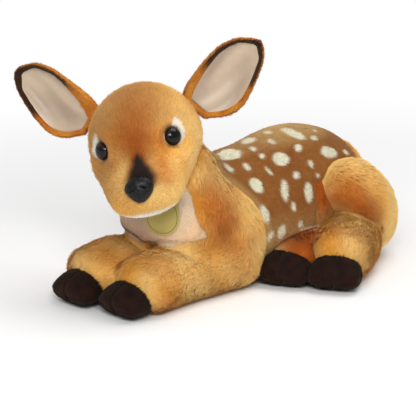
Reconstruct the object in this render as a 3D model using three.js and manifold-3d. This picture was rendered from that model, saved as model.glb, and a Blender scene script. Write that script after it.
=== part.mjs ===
// A plush fawn lying down with its head raised. Pile-fabric covers are sewn round fibre filling, with
// suede hooves, satin ear linings, safety eyes and nose locked by washers, and a pellet pouch in the belly.
// Millimetres, +Z up. The fawn looks along -Y and its own left is +X. The origin is in the middle of the
// belly's flat, on the table.
import * as THREE from "three";
import { mergeVertices } from "three/addons/utils/BufferGeometryUtils.js";
import Module from "manifold-3d";

const wasm = await Module();
wasm.setup();

// Driving sizes in millimetres, and angles in degrees
const seamGap = 0.3; // between pieces that touch
const turnGap = 0.6; // round a root that turns in its socket
const restDepth = 0.5; // how deep the table flattens what rests on it
const cover = 3; // backing cloth with its pile pressed flat
const suede = 2;

const trunk = { reach: 280, girth: 136, front: 156 };
const neck = { reach: 84, girth: 80, back: 66, rise: 76, pitchAngle: 42 };
const neckOpening = 24;
const shoulder = { reach: 76, girth: 58, side: 9, back: 69, rise: 102 };
const skull = {
  radius: 50,
  side: -10,
  forward: 143,
  rise: 145,
  yawAngle: 37,
  rollAngle: -14,
  pitchAngle: 4,
};
const face = { reach: 82, girth: 100 };

const eye = {
  radius: 8,
  domeHeight: 5.4,
  brim: 1,
  stemRadius: 2,
  stemLength: 10,
  ridge: 0.4,
  side: 32,
  forward: 38,
  rise: 8.5,
};
const nose = {
  width: 27,
  height: 22,
  depth: 9,
  sunkDepth: 3,
  stemRadius: 2.5,
  stemLength: 13,
  forward: 79,
  drop: 20,
  tiltAngle: 18,
};
const nostril = { length: 7, width: 2.4, depth: 4, side: 6, rise: 1, slantAngle: 28 };
const washer = { radius: 6.5, thickness: 1.8, play: 0.3 };

const ear = {
  length: 84,
  width: 52,
  cupDepth: 13, // of the hollow in the open side
  furThickness: 3,
  liningThickness: 1.2,
  rootRadius: 4.5, // of the rolled root
  rootLength: 30,
  side: 44,
  back: 13,
  leftRise: 14,
  rightRise: 21,
};

const foreleg = { reach: 158, girth: 54, side: 29, back: 36, turnAngle: 4 };
const farForeleg = { side: -26, back: 40 };
const hoof = { reach: 42, girth: 46, seat: 22, lip: 3 };
const thigh = { reach: 100, girth: 102, side: 48, along: 68, rise: 44 };
const shank = { reach: 88, girth: 58, side: 61, along: 67, turnAngle: 28 };
const farThigh = { reach: 92, girth: 92, side: -34, along: 66, rise: 40 };
const farShank = { reach: 96, girth: 44, side: -44, along: 64, turnAngle: 24 };
const tail = {
  reach: 46,
  girth: 26,
  rootRadius: 4,
  rootLength: 14,
  sunkDepth: 0.5, // of the root's middle into the end of the trunk
  rise: 80,
  droopAngle: 66,
  liftAngle: 28,
};
const tag = { radius: 16.5, thickness: 1.4, ringRadius: 14.2, stitchWidth: 1, stitchDepth: 0.5, rise: 80 };
const pouch = { reach: 84, girth: 62, along: 27 };

// Seams of the trunk's panels, forward of the origin where the name says so
const seams = {
  withersForward: 87,
  withersTop: 120,
  elbowForward: 33,
  elbowTop: 52,
  flank: 22,
  flankTop: 84,
  rumpDepth: 20, // from the end of the trunk
  belly: 9,
};

// The cream panel on the chest, turned to the fawn's left with it
const bib = {
  side: -5,
  forward: 110,
  turnAngle: 29,
  topHeight: 112,
  topHalfWidth: 29,
  halfWidth: 41,
  depth: 10,
};

const finishes = {
  gold: fabric(0xd9984a),
  rust: fabric(0xb9652a),
  spotted: fabric(0x8f6238),
  cream: fabric(0xeed3ae),
  satin: fabric(0xe6d2bc),
  suede: fabric(0x3a2019),
  filling: fabric(0xf2f2ee),
  pouch: fabric(0xcfd3d6),
  eye: moulded(0x17181a, 0.08),
  nose: moulded(0x1c1d20, 0.45),
  washer: moulded(0xf7f7f7, 0.5),
  tag: moulded(0xb9a64e, 0.5),
};

function fabric(color) {
  return new THREE.MeshStandardMaterial({ color, roughness: 0.9, metalness: 0 });
}

function moulded(color, roughness) {
  return new THREE.MeshStandardMaterial({ color, roughness, metalness: 0 });
}

// Solids
function solidFrom(geometry) {
  const bare = geometry.clone();
  bare.deleteAttribute("normal");
  bare.deleteAttribute("uv");
  const merged = mergeVertices(bare);
  return new wasm.Manifold(
    new wasm.Mesh({
      numProp: 3,
      vertProperties: merged.attributes.position.array,
      triVerts: new Uint32Array(merged.index.array),
    }),
  );
}

function geometryFrom(solid) {
  const mesh = solid.getMesh();
  const geometry = new THREE.BufferGeometry();
  geometry.setAttribute("position", new THREE.BufferAttribute(mesh.vertProperties, 3));
  geometry.setIndex(new THREE.BufferAttribute(mesh.triVerts, 1));
  geometry.computeVertexNormals();
  return geometry;
}

const radians = THREE.MathUtils.degToRad;
const moved = (solid, matrix) => solid.transform(matrix.elements);
const together = (solids) => solids.reduce((sum, solid) => sum.add(solid));
const largest = (solid) =>
  solid.decompose().reduce((best, body) => (body.volume() > best.volume() ? body : best));

function place(x, y, z, { yaw = 0, pitch = 0, roll = 0 } = {}) {
  const turned = new THREE.Euler(radians(pitch), radians(roll), radians(yaw), "ZXY");
  return new THREE.Matrix4().makeRotationFromEuler(turned).setPosition(x, y, z);
}

const ball = (radius, facets) => solidFrom(new THREE.SphereGeometry(radius, facets, facets / 2));

// Rods along X, centred, and from the origin along -Y
const crossRod = (radius, length, facets) =>
  solidFrom(new THREE.CylinderGeometry(radius, radius, length, facets).rotateZ(Math.PI / 2));
const forwardRod = (radius, length, facets) =>
  solidFrom(new THREE.CylinderGeometry(radius, radius, length, facets).translate(0, -length / 2, 0));

function block(from, to) {
  const size = to.clone().sub(from);
  const middle = to.clone().add(from).divideScalar(2);
  return solidFrom(new THREE.BoxGeometry(size.x, size.y, size.z).translate(middle.x, middle.y, middle.z));
}

// A profile of [radius, height along -Y] pairs, turned about the Y axis
function turnedForward(points, facets) {
  const profile = points.map(([radius, out]) => new THREE.Vector2(radius, out));
  return solidFrom(new THREE.LatheGeometry(profile, facets).rotateX(Math.PI));
}

// A closed stuffed form along -Y. Each row gives, after how far along the reach it is, how far the form
// lies to the side, its underside, its top and its half width in shares of the girth. The ends are
// rounded over the last part of the way, and the underside is pressed flatter than the top.
const roundedEndShare = 0.16;
const pressedPowerShare = 0.72;

function stuffed({ reach, girth }, rows, { sides, rings }, grow = 0) {
  const spine = new THREE.CatmullRomCurve3(
    rows.map(
      ([along, side, low, high]) =>
        new THREE.Vector3(side * girth, -along * reach, ((low + high) / 2) * girth),
    ),
  );
  const sizes = new THREE.CatmullRomCurve3(
    rows.map(([, , low, high, wide]) => new THREE.Vector3(wide * girth, ((high - low) / 2) * girth, 0)),
  );
  const upright = new THREE.Vector3(0, 0, 1);
  const centreAt = (t) => spine.getPoint(t).addScaledVector(spine.getTangent(t), grow * (2 * t - 1));
  const places = [centreAt(0)];
  for (let ring = 1; ring < rings; ring++) {
    const t = (1 - Math.cos((Math.PI * ring) / rings)) / 2;
    const fromEnd = Math.min(t, 1 - t) / roundedEndShare;
    const swell = fromEnd < 1 ? Math.sqrt(1 - (1 - fromEnd) ** 2) : 1;
    const along = spine.getTangent(t);
    const across = new THREE.Vector3().crossVectors(along, upright).normalize();
    const over = new THREE.Vector3().crossVectors(across, along).normalize();
    const { x: wide, y: tall } = sizes.getPoint(t);
    for (let side = 0; side < sides; side++) {
      const angle = (2 * Math.PI * side) / sides;
      const rise = Math.sin(angle);
      const pressed = rise < 0 ? -((-rise) ** pressedPowerShare) : rise;
      places.push(
        centreAt(t)
          .addScaledVector(across, Math.cos(angle) * (wide + grow) * swell)
          .addScaledVector(over, pressed * (tall + grow) * swell),
      );
    }
  }
  places.push(centreAt(1));
  const last = places.length - 1;
  const at = (ring, side) => 1 + (ring - 1) * sides + (side % sides);
  const faces = [];
  for (let side = 0; side < sides; side++) {
    faces.push(0, at(1, side), at(1, side + 1));
    faces.push(last, at(rings - 1, side + 1), at(rings - 1, side));
    for (let ring = 1; ring < rings - 1; ring++) {
      faces.push(at(ring, side), at(ring + 1, side), at(ring + 1, side + 1));
      faces.push(at(ring, side), at(ring + 1, side + 1), at(ring, side + 1));
    }
  }
  const geometry = new THREE.BufferGeometry().setFromPoints(places);
  geometry.setIndex(faces);
  return solidFrom(geometry);
}

const fine = { body: { sides: 20, rings: 15 }, limb: { sides: 12, rings: 8 }, ball: 20 };
const plain = { body: { sides: 12, rings: 10 }, limb: { sides: 8, rings: 6 }, ball: 12 };
const small = 14; // facets round a small turned piece

const span = trunk.reach * 2; // past every end of the fawn
const above = (height, solid) =>
  solid.subtract(block(new THREE.Vector3(-span, -span, -span), new THREE.Vector3(span, span, height)));
const onTable = (solid) => above(0, solid);

const fawn = new THREE.Group();

function addPiece(parent, name, solid, material) {
  const mesh = new THREE.Mesh(geometryFrom(largest(solid)), material);
  mesh.name = name;
  parent.add(mesh);
}

// Hooves: a toe that slopes down to a wide sole
const hoofShares = [
  [0, 0, -0.5, 0.14, 0.4],
  [0.3, 0, -0.5, 0.2, 0.48],
  [0.6, 0, -0.5, 0.16, 0.54],
  [0.86, 0, -0.5, 0.02, 0.52],
  [1, 0, -0.46, -0.14, 0.42],
];
const hoofForm = (facets, grow) => stuffed(hoof, hoofShares, facets.limb, grow);
const behindHoof = (lip) =>
  block(
    new THREE.Vector3(-hoof.girth, -lip, -hoof.girth),
    new THREE.Vector3(hoof.girth, hoof.reach, hoof.girth),
  );

// The sewn pieces of a leg: its cover, its hoof, and one filling for both
function legPieces(outer, inner, filling, hoofAt) {
  const hoofRoom = moved(hoofForm(fine, seamGap), hoofAt);
  const hoofFilling = moved(hoofForm(plain, -suede - seamGap), hoofAt);
  return {
    cover: outer.subtract(inner).subtract(hoofRoom),
    hoof: moved(hoofForm(fine, 0).subtract(hoofForm(plain, -suede)).subtract(behindHoof(hoof.lip)), hoofAt),
    filling: filling
      .add(hoofFilling)
      .subtract(hoofRoom.subtract(hoofFilling).subtract(moved(behindHoof(hoof.lip - seamGap), hoofAt))),
  };
}

// Forelegs, laid forward from the elbows under the chest
const forelegShares = [
  [0, 0, -0.44, 0.42, 0.42],
  [0.25, 0, -0.5, 0.46, 0.5],
  [0.5, 0, -0.5, 0.42, 0.48],
  [0.72, 0, -0.5, 0.46, 0.48],
  [0.9, 0, -0.5, 0.42, 0.46],
  [1, 0, -0.46, 0.3, 0.38],
];
const forelegRise = foreleg.girth / 2 - restDepth;
const forelegPlaces = {
  left: place(foreleg.side, -foreleg.back, forelegRise, { yaw: -foreleg.turnAngle }),
  right: place(farForeleg.side, -farForeleg.back, forelegRise, { yaw: -foreleg.turnAngle }),
};
const forelegForm = (facets, grow) => stuffed(foreleg, forelegShares, facets.limb, grow);
const frontHoofAt = place(0, hoof.seat - foreleg.reach, (hoof.girth - foreleg.girth) / 2);

// Hind legs, both laid out to the fawn's left, the right shank under the belly
const thighShares = [
  [-0.5, 0, -0.3, 0.3, 0.3],
  [-0.25, 0, -0.42, 0.42, 0.38],
  [0, 0, -0.43, 0.52, 0.42],
  [0.25, 0, -0.24, 0.46, 0.4],
  [0.5, 0, 0.16, 0.4, 0.28],
];
const shankShares = [
  [0, 0, -0.5, 0.34, 0.44],
  [0.3, 0, -0.5, 0.44, 0.52],
  [0.65, 0, -0.5, 0.42, 0.52],
  [1, 0, -0.48, 0.3, 0.44],
];
const farShankShares = [
  [-0.05, 0, -0.5, 0.36, 0.4],
  [0, 0.9, -0.5, 0.4, 0.44],
  [0.25, 1.75, -0.5, 0.44, 0.5],
  [0.6, 2.2, -0.5, 0.44, 0.54],
  [1, 2.38, -0.48, 0.34, 0.46],
];
const farShankEnd = farShankShares[farShankShares.length - 1];
const shankAt = place(shank.side, shank.along, shank.girth / 2 - restDepth, { yaw: shank.turnAngle });
const farShankAt = place(farShank.side, farShank.along, farShank.girth / 2 - restDepth);
const hindHoofAt = shankAt
  .clone()
  .multiply(place(0, hoof.seat - shank.reach, (hoof.girth - shank.girth) / 2));
const farHindHoofAt = farShankAt
  .clone()
  .multiply(place(farShankEnd[1] * farShank.girth, -farShank.reach, 0, { yaw: farShank.turnAngle }))
  .multiply(place(0, hoof.seat, (hoof.girth - farShank.girth) / 2));

const thighForm = (facets, grow) =>
  moved(stuffed(thigh, thighShares, facets.limb, grow), place(thigh.side, thigh.along, thigh.rise));
const shankForm = (facets, grow) => moved(stuffed(shank, shankShares, facets.limb, grow), shankAt);
const farThighForm = (facets, grow) =>
  moved(
    stuffed(farThigh, thighShares, facets.limb, grow),
    place(farThigh.side, farThigh.along, farThigh.rise),
  );
const farShankForm = (facets, grow) =>
  moved(stuffed(farShank, farShankShares, facets.limb, grow), farShankAt);
const farLegForm = (facets, grow) =>
  farShankForm(facets, grow).add(moved(hoofForm(facets, grow), farHindHoofAt));

// Tail, with a rolled root across the rump
const trunkEnd = trunk.reach - trunk.front;
const rumpSeam = trunkEnd - seams.rumpDepth;
const tailAt = place(0, trunkEnd - tail.sunkDepth, tail.rise, { yaw: 180, pitch: tail.droopAngle });
const tailShares = [
  [0, 0, -0.14, 0.2, 0.28],
  [0.3, 0, -0.22, 0.26, 0.46],
  [0.7, 0, -0.22, 0.24, 0.5],
  [1, 0, -0.12, 0.12, 0.28],
];
const tailForm = (grow) =>
  stuffed(tail, tailShares, plain.limb, grow)
    .add(crossRod(tail.rootRadius + grow, tail.rootLength + 2 * grow, small));
const tailRoom = together(
  [0, tail.liftAngle / 2, tail.liftAngle].map((lift) =>
    moved(tailForm(turnGap), tailAt.clone().multiply(place(0, 0, 0, { pitch: -lift }))),
  ),
);

// Trunk, neck and shoulders
const trunkShares = [
  [0, 0.04, 0.34, 0.74, 0.34],
  [0.08, 0.04, 0.28, 0.79, 0.36],
  [0.2, 0.02, 0.18, 0.87, 0.355],
  [0.34, 0, 0.02, 0.88, 0.35],
  [0.5, 0, -0.03, 0.89, 0.37],
  [0.69, 0, -0.03, 0.94, 0.4],
  [0.84, 0, -0.01, 0.86, 0.38],
  [0.94, 0, 0.05, 0.74, 0.33],
  [1, 0, 0.14, 0.6, 0.24],
];
const neckShares = [
  [0, 0, -0.56, 0.4, 0.54],
  [0.45, 0, -0.52, 0.37, 0.48],
  [1, 0, -0.42, 0.35, 0.42],
];
const shoulderShares = [
  [0, 0, -0.36, 0.36, 0.34],
  [0.35, 0.18, -0.5, 0.5, 0.46],
  [0.75, 0.26, -0.5, 0.44, 0.46],
  [1, 0.26, -0.5, 0.3, 0.38],
];

function torsoForm(facets, grow) {
  const upperArm = stuffed(shoulder, shoulderShares, facets.limb, grow);
  const mirrored = new THREE.Matrix4().makeScale(-1, 1, 1);
  return together([
    moved(stuffed(trunk, trunkShares, facets.body, grow), place(0, -trunk.front, -restDepth, { yaw: 180 })),
    moved(
      stuffed(neck, neckShares, facets.limb, grow),
      place(0, -neck.back, neck.rise, { pitch: -neck.pitchAngle }),
    ),
    moved(upperArm, place(shoulder.side, -shoulder.back, shoulder.rise, { pitch: 90 })),
    moved(moved(upperArm, mirrored), place(-shoulder.side, -shoulder.back, shoulder.rise, { pitch: 90 })),
  ]);
}

// The torso with room for what sits in it, at a distance in from its own surface
function torsoLayer(facets, inwards) {
  return torsoForm(facets, -inwards)
    .subtract(farLegForm(facets, seamGap + inwards));
}

const skullCentre = new THREE.Vector3(skull.side, -skull.forward, skull.rise);
const facetShare = Math.cos(Math.PI / fine.ball) ** 2; // how near a ball's facets come to its middle
const neckSeat = ball((skull.radius + turnGap) / facetShare, fine.ball).translate(skullCentre.toArray());
const torsoShell = onTable(torsoLayer(fine, 0))
  .subtract(neckSeat)
  .subtract(tailRoom)
  .subtract(above(cover, torsoLayer(plain, cover)));

// Each panel is one region of the shell, and the regions stand a seam's gap apart
const bellyRegion = (grow) =>
  block(
    new THREE.Vector3(-span, -span, -span),
    new THREE.Vector3(span, seams.flank + grow, seams.belly + grow),
  );

function outlineRegion(points, depth) {
  const shape = new THREE.Shape(points.map(([x, y]) => new THREE.Vector2(x, y)));
  return solidFrom(new THREE.ExtrudeGeometry(shape, { depth, bevelEnabled: false }));
}

// The bib widens downwards
function bibRegion(grow) {
  const outline = outlineRegion(
    [
      [-bib.halfWidth - grow, 0],
      [bib.halfWidth + grow, 0],
      [bib.topHalfWidth + grow, bib.topHeight + grow],
      [-bib.topHalfWidth - grow, bib.topHeight + grow],
    ],
    span,
  );
  const standing = moved(outline, place(0, grow - bib.depth, 0, { pitch: 90 }));
  return moved(standing, place(bib.side, -bib.forward, 0, { yaw: bib.turnAngle }));
}

// Looking along -X at the flank, the front seam leans forward from the elbow to the withers
function backRegion(grow) {
  const outline = outlineRegion(
    [
      [-seams.elbowForward - grow, -span],
      [rumpSeam + grow, -span],
      [rumpSeam + grow, span],
      [-seams.withersForward - grow, span],
      [-seams.withersForward - grow, seams.withersTop],
      [-seams.elbowForward - grow, seams.elbowTop],
    ],
    span * 2,
  );
  const turned = new THREE.Matrix4()
    .makeBasis(new THREE.Vector3(0, 1, 0), new THREE.Vector3(0, 0, 1), new THREE.Vector3(1, 0, 0))
    .setPosition(-span, 0, 0);
  return moved(outline, turned);
}

function flankRegion(hand, grow) {
  const near = new THREE.Vector3(-grow, seams.flank - grow, -span);
  const far = new THREE.Vector3(span, span, seams.flankTop + grow);
  return moved(block(near, far), new THREE.Matrix4().makeScale(hand, 1, 1));
}

const aboveBelly = torsoShell.subtract(bellyRegion(seamGap));
const besideBib = aboveBelly.subtract(bibRegion(seamGap));
const acrossBack = besideBib.intersect(backRegion(0));
const besideBack = besideBib.subtract(backRegion(seamGap));
const fore = block(new THREE.Vector3(-span, -span, -span), new THREE.Vector3(span, 0, span));

addPiece(fawn, "front_cover", besideBack.intersect(fore), finishes.gold);
addPiece(fawn, "chest_bib", aboveBelly.intersect(bibRegion(0)), finishes.cream);
addPiece(fawn, "belly_panel", torsoShell.intersect(bellyRegion(0)), finishes.gold);
const backAlone = acrossBack.subtract(flankRegion(1, 0)).subtract(flankRegion(-1, 0));
addPiece(fawn, "back_panel", backAlone, finishes.spotted);
addPiece(fawn, "left_flank_panel", acrossBack.intersect(flankRegion(1, -seamGap)), finishes.rust);
addPiece(fawn, "right_flank_panel", acrossBack.intersect(flankRegion(-1, -seamGap)), finishes.rust);
addPiece(fawn, "rump_cover", besideBack.subtract(fore), finishes.gold);

// Filling and pellet pouch
const pouchShares = [
  [0, 0, -0.1, 0.2, 0.34],
  [0.3, 0, -0.1, 0.34, 0.48],
  [0.7, 0, -0.1, 0.34, 0.48],
  [1, 0, -0.1, 0.2, 0.34],
];
const pouchForm = (grow) => moved(stuffed(pouch, pouchShares, plain.limb, grow), place(0, pouch.along, 0));
const torsoCore = above(cover + seamGap, torsoLayer(plain, cover + seamGap))
  .subtract(neckSeat)
  .subtract(farLegForm(fine, seamGap));
addPiece(fawn, "body_filling", torsoCore.subtract(pouchForm(seamGap)), finishes.filling);
addPiece(fawn, "pellet_pouch", pouchForm(0).intersect(torsoCore), finishes.pouch);

// Tag: a soft disc sewn flat on the bib, with a sunk stitched ring
const tagAt = place(bib.side, -bib.forward, tag.rise, { yaw: bib.turnAngle });
const tagRod = (radius) => moved(forwardRod(radius, span, fine.body.sides), tagAt);
const tagLayer = (from, to) => torsoForm(fine, to).subtract(torsoForm(fine, from));
const tagFace = seamGap + tag.thickness;
addPiece(
  fawn,
  "chest_tag",
  tagLayer(seamGap, tagFace)
    .intersect(tagRod(tag.radius))
    .subtract(
      tagLayer(tagFace - tag.stitchDepth, tagFace + tag.stitchWidth).intersect(
        tagRod(tag.ringRadius + tag.stitchWidth / 2).subtract(tagRod(tag.ringRadius - tag.stitchWidth / 2)),
      ),
    ),
  finishes.tag,
);

// Legs
const torsoRoom = torsoForm(fine, seamGap);
const besideTorso = (solid) => onTable(solid).subtract(torsoRoom);
const forelegPieces = legPieces(
  forelegForm(fine, 0),
  forelegForm(plain, -cover),
  forelegForm(plain, -cover - seamGap),
  frontHoofAt,
);
const farLegRoom = farLegForm(fine, seamGap);
for (const side of ["left", "right"]) {
  const put = (solid) => besideTorso(moved(solid, forelegPlaces[side])).subtract(farLegRoom);
  addPiece(fawn, `${side}_foreleg_cover`, put(forelegPieces.cover), finishes.gold);
  addPiece(fawn, `${side}_foreleg_filling`, put(forelegPieces.filling), finishes.filling);
  addPiece(fawn, `${side}_front_hoof`, put(forelegPieces.hoof), finishes.suede);
}

const leftHind = legPieces(
  thighForm(fine, 0).add(shankForm(fine, 0)),
  thighForm(plain, -cover).add(shankForm(plain, -cover)),
  thighForm(plain, -cover - seamGap).add(shankForm(plain, -cover - seamGap)),
  hindHoofAt,
);
const besideFarLeg = (solid) => besideTorso(solid).subtract(farLegRoom);
addPiece(fawn, "left_hind_leg_cover", besideFarLeg(leftHind.cover), finishes.gold);
addPiece(fawn, "left_hind_leg_filling", besideFarLeg(leftHind.filling), finishes.filling);
addPiece(fawn, "left_hind_hoof", besideFarLeg(leftHind.hoof), finishes.suede);

const rightHind = legPieces(
  farThighForm(fine, 0).subtract(torsoRoom).add(farShankForm(fine, 0)),
  farThighForm(plain, -cover).add(farShankForm(plain, -cover)),
  farThighForm(plain, -cover - seamGap).subtract(torsoRoom).add(farShankForm(plain, -cover - seamGap)),
  farHindHoofAt,
);
addPiece(fawn, "right_hind_leg_cover", onTable(rightHind.cover), finishes.gold);
addPiece(fawn, "right_hind_leg_filling", onTable(rightHind.filling), finishes.filling);
addPiece(fawn, "right_hind_hoof", onTable(rightHind.hoof), finishes.suede);
addPiece(fawn, "tail", moved(tailForm(0), tailAt), finishes.gold);

// Head, turned to the fawn's left and tilted
const head = new THREE.Group();
head.position.copy(skullCentre);
head.rotation.set(radians(skull.pitchAngle), radians(skull.rollAngle), radians(skull.yawAngle), "ZXY");
head.updateMatrix();
fawn.add(head);

const faceShares = [
  [-0.25, 0, -0.34, 0.34, 0.34],
  [0, 0, -0.46, 0.46, 0.46],
  [0.34, 0, -0.5, 0.32, 0.46],
  [0.61, 0, -0.51, 0.06, 0.39],
  [0.82, 0, -0.5, -0.11, 0.31],
  [1, 0, -0.44, -0.2, 0.2],
];
const headForm = (facets, grow) =>
  ball(skull.radius + grow, facets.ball).add(stuffed(face, faceShares, facets.limb, grow));

// The neck's way into the head, on the line from the shoulders to the middle of the skull
const neckRoot = new THREE.Vector3(0, -neck.back, neck.rise)
  .applyMatrix4(head.matrix.clone().invert())
  .normalize();
const alongNeck = new THREE.Matrix4().makeRotationFromQuaternion(
  new THREE.Quaternion().setFromUnitVectors(new THREE.Vector3(0, -1, 0), neckRoot),
);
const neckRod = (radius) => moved(forwardRod(radius, skull.radius * 2, fine.ball), alongNeck);

// Eyes and nose, each with a stem through the cover to a washer behind it
function lookingOut(hand) {
  const out = new THREE.Vector3(hand * eye.side, -eye.forward, eye.rise).normalize();
  const turned = new THREE.Quaternion().setFromUnitVectors(new THREE.Vector3(0, -1, 0), out);
  const seat = Math.sqrt(skull.radius ** 2 - eye.radius ** 2) - seamGap;
  return new THREE.Matrix4().makeRotationFromQuaternion(turned).setPosition(out.multiplyScalar(seat));
}
const ridges = 3;
const domeSteps = 4;
function eyeForm() {
  const points = [[0, -eye.stemLength], [eye.stemRadius, -eye.stemLength]];
  for (let step = 1; step <= ridges; step++) {
    const out = (step / (ridges + 1) - 1) * eye.stemLength;
    points.push([eye.stemRadius + eye.ridge, out], [eye.stemRadius, out + eye.ridge]);
  }
  points.push([eye.stemRadius, 0], [eye.radius, 0], [eye.radius, eye.brim]);
  for (let step = 1; step < domeSteps; step++) {
    const angle = (Math.PI / 2) * (step / domeSteps);
    points.push([eye.radius * Math.cos(angle), eye.brim + eye.domeHeight * Math.sin(angle)]);
  }
  points.push([0, eye.brim + eye.domeHeight]);
  return turnedForward(points, small);
}
const stemRoom = forwardRod(eye.stemRadius + eye.ridge + seamGap, eye.stemLength, small);
const eyeRoom = forwardRod(eye.radius + seamGap, skull.radius, small)
  .add(stemRoom.translate([0, eye.stemLength, 0]))
  .translate([0, seamGap, 0]);

function washerForm(stem) {
  const hole = forwardRod(stem + eye.ridge + washer.play, span, small).translate([0, span / 2, 0]);
  return forwardRod(washer.radius, washer.thickness, small).subtract(hole);
}
const washerRoom = forwardRod(washer.radius + seamGap, washer.thickness + 2 * seamGap, small)
  .translate([0, seamGap, 0]);
const noseAt = place(0, -nose.forward, -nose.drop, { pitch: -nose.tiltAngle });
function noseForm(grow) {
  const geometry = new THREE.SphereGeometry(1, small, small / 2);
  const at = geometry.attributes.position;
  const taperShare = 0.22;
  for (let i = 0; i < at.count; i++) {
    const out = at.getY(i) < 0 ? nose.depth : nose.sunkDepth;
    const taper = 1 + taperShare * at.getZ(i);
    at.setXYZ(
      i,
      at.getX(i) * taper * (nose.width / 2 + grow),
      at.getY(i) * (out + grow),
      at.getZ(i) * (nose.height / 2 + grow),
    );
  }
  const stem = forwardRod(nose.stemRadius + grow, nose.stemLength + grow, small)
    .translate([0, nose.stemLength + grow, 0]);
  return solidFrom(geometry).add(stem);
}
const nostrilForm = (hand) =>
  moved(
    ball(1, small),
    place(hand * nostril.side, -nose.depth, nostril.rise, { roll: hand * nostril.slantAngle }).scale(
      new THREE.Vector3(nostril.length / 2, nostril.depth, nostril.width / 2),
    ),
  );

const eyeWasherAt = (hand) => lookingOut(hand).multiply(place(0, cover + washer.thickness, 0));
const noseWasherAt = noseAt.clone().multiply(place(0, nose.sunkDepth + cover + washer.thickness, 0));

// Ears: a fur back and a satin lining sewn round the edge, hollowed, on a rolled root
const earRows = 7;
const earColumns = 6;
const earWidthShares = [0.54, 0.88, 1, 0.97, 0.86, 0.66, 0.26];
const earLeanShares = [0.04, 0.2, 0.24, 0.18, 0.08, 0, 0];
const earCupShares = [0, 0.45, 0.8, 1, 0.95, 0.75, 0.4];
const earDirectionShares = { left: [0.8, 0.09, 0.56], right: [0.72, 0.2, 0.68] };

function earSheet(hand, inner, outer) {
  const points = [];
  for (const offset of [inner, outer]) {
    for (let row = 0; row < earRows; row++) {
      for (let column = 0; column <= earColumns; column++) {
        const across = (column / earColumns) * 2 - 1;
        const half = (ear.width / 2) * earWidthShares[row];
        const depth = ear.cupDepth * (1 - across ** 2) * earCupShares[row] + offset;
        const up = ear.rootRadius / 2 + (row / (earRows - 1)) * ear.length;
        points.push(new THREE.Vector3((across + hand * earLeanShares[row]) * half, depth, up));
      }
    }
  }
  const at = (layer, row, column) => (layer * earRows + row) * (earColumns + 1) + column;
  const faces = [];
  const quad = (a, b, c, d) => faces.push(a, b, c, a, c, d);
  const [top, edge] = [earRows - 1, earColumns];
  for (let row = 0; row < top; row++) {
    for (let column = 0; column < edge; column++) {
      quad(at(0, row, column), at(0, row, column + 1), at(0, row + 1, column + 1), at(0, row + 1, column));
      quad(at(1, row, column), at(1, row + 1, column), at(1, row + 1, column + 1), at(1, row, column + 1));
    }
    quad(at(0, row, 0), at(0, row + 1, 0), at(1, row + 1, 0), at(1, row, 0));
    quad(at(0, row, edge), at(1, row, edge), at(1, row + 1, edge), at(0, row + 1, edge));
  }
  for (let column = 0; column < edge; column++) {
    quad(at(0, 0, column), at(1, 0, column), at(1, 0, column + 1), at(0, 0, column + 1));
    quad(at(0, top, column), at(0, top, column + 1), at(1, top, column + 1), at(1, top, column));
  }
  const geometry = new THREE.BufferGeometry().setFromPoints(points);
  geometry.setIndex(faces);
  return solidFrom(geometry);
}

function earMatrix(side) {
  const hand = side === "left" ? 1 : -1;
  const [out, back, rise] = earDirectionShares[side];
  const up = new THREE.Vector3(hand * out, back, rise).normalize();
  const behind = new THREE.Vector3(0, 1, 0).projectOnPlane(up).normalize();
  const across = new THREE.Vector3().crossVectors(behind, up).normalize();
  return new THREE.Matrix4().makeBasis(across, behind, up).setPosition(
    hand * ear.side,
    ear.back,
    side === "left" ? ear.leftRise : ear.rightRise,
  );
}
const earRoot = (grow) => crossRod(ear.rootRadius + grow, ear.rootLength + 2 * grow, small);

const headRooms = together([
  moved(eyeRoom, lookingOut(1)),
  moved(eyeRoom, lookingOut(-1)),
  moved(washerRoom, eyeWasherAt(1)),
  moved(washerRoom, eyeWasherAt(-1)),
  moved(noseForm(seamGap), noseAt),
  moved(washerRoom, noseWasherAt),
  moved(earRoot(turnGap), earMatrix("left")),
  moved(earRoot(turnGap), earMatrix("right")),
]);
const throughNeck = ball(skull.radius, fine.ball).intersect(neckRod(neckOpening - seamGap));
addPiece(
  head,
  "head_cover",
  headForm(fine, 0).subtract(headForm(plain, -cover)).subtract(neckRod(neckOpening)).subtract(headRooms),
  finishes.gold,
);
const headCore = headForm(plain, -cover - seamGap).add(throughNeck);
addPiece(head, "head_filling", headCore.subtract(headRooms), finishes.filling);
for (const [side, hand] of [["left", 1], ["right", -1]]) {
  addPiece(head, `${side}_eye`, moved(eyeForm(), lookingOut(hand)), finishes.eye);
  const eyeWasher = moved(washerForm(eye.stemRadius), eyeWasherAt(hand));
  addPiece(head, `${side}_eye_washer`, eyeWasher, finishes.washer);
  const group = new THREE.Group();
  group.applyMatrix4(earMatrix(side));
  head.add(group);
  const middle = ear.liningThickness + seamGap / 2;
  const lining = earSheet(hand, seamGap / 2 - middle, ear.liningThickness - middle);
  const back = earSheet(hand, seamGap / 2, ear.furThickness).add(earRoot(0));
  addPiece(group, `${side}_ear_lining`, lining.subtract(earRoot(seamGap)), finishes.satin);
  addPiece(group, `${side}_ear_back`, back, finishes.rust);
}
addPiece(
  head,
  "nose",
  moved(noseForm(0).subtract(nostrilForm(1)).subtract(nostrilForm(-1)), noseAt),
  finishes.nose,
);
addPiece(head, "nose_washer", moved(washerForm(nose.stemRadius), noseWasherAt), finishes.washer);

export default fawn;
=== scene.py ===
import math

import bpy
import numpy as np
from mathutils import Matrix, Vector
from mathutils.bvhtree import BVHTree
from mathutils.kdtree import KDTree


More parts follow.
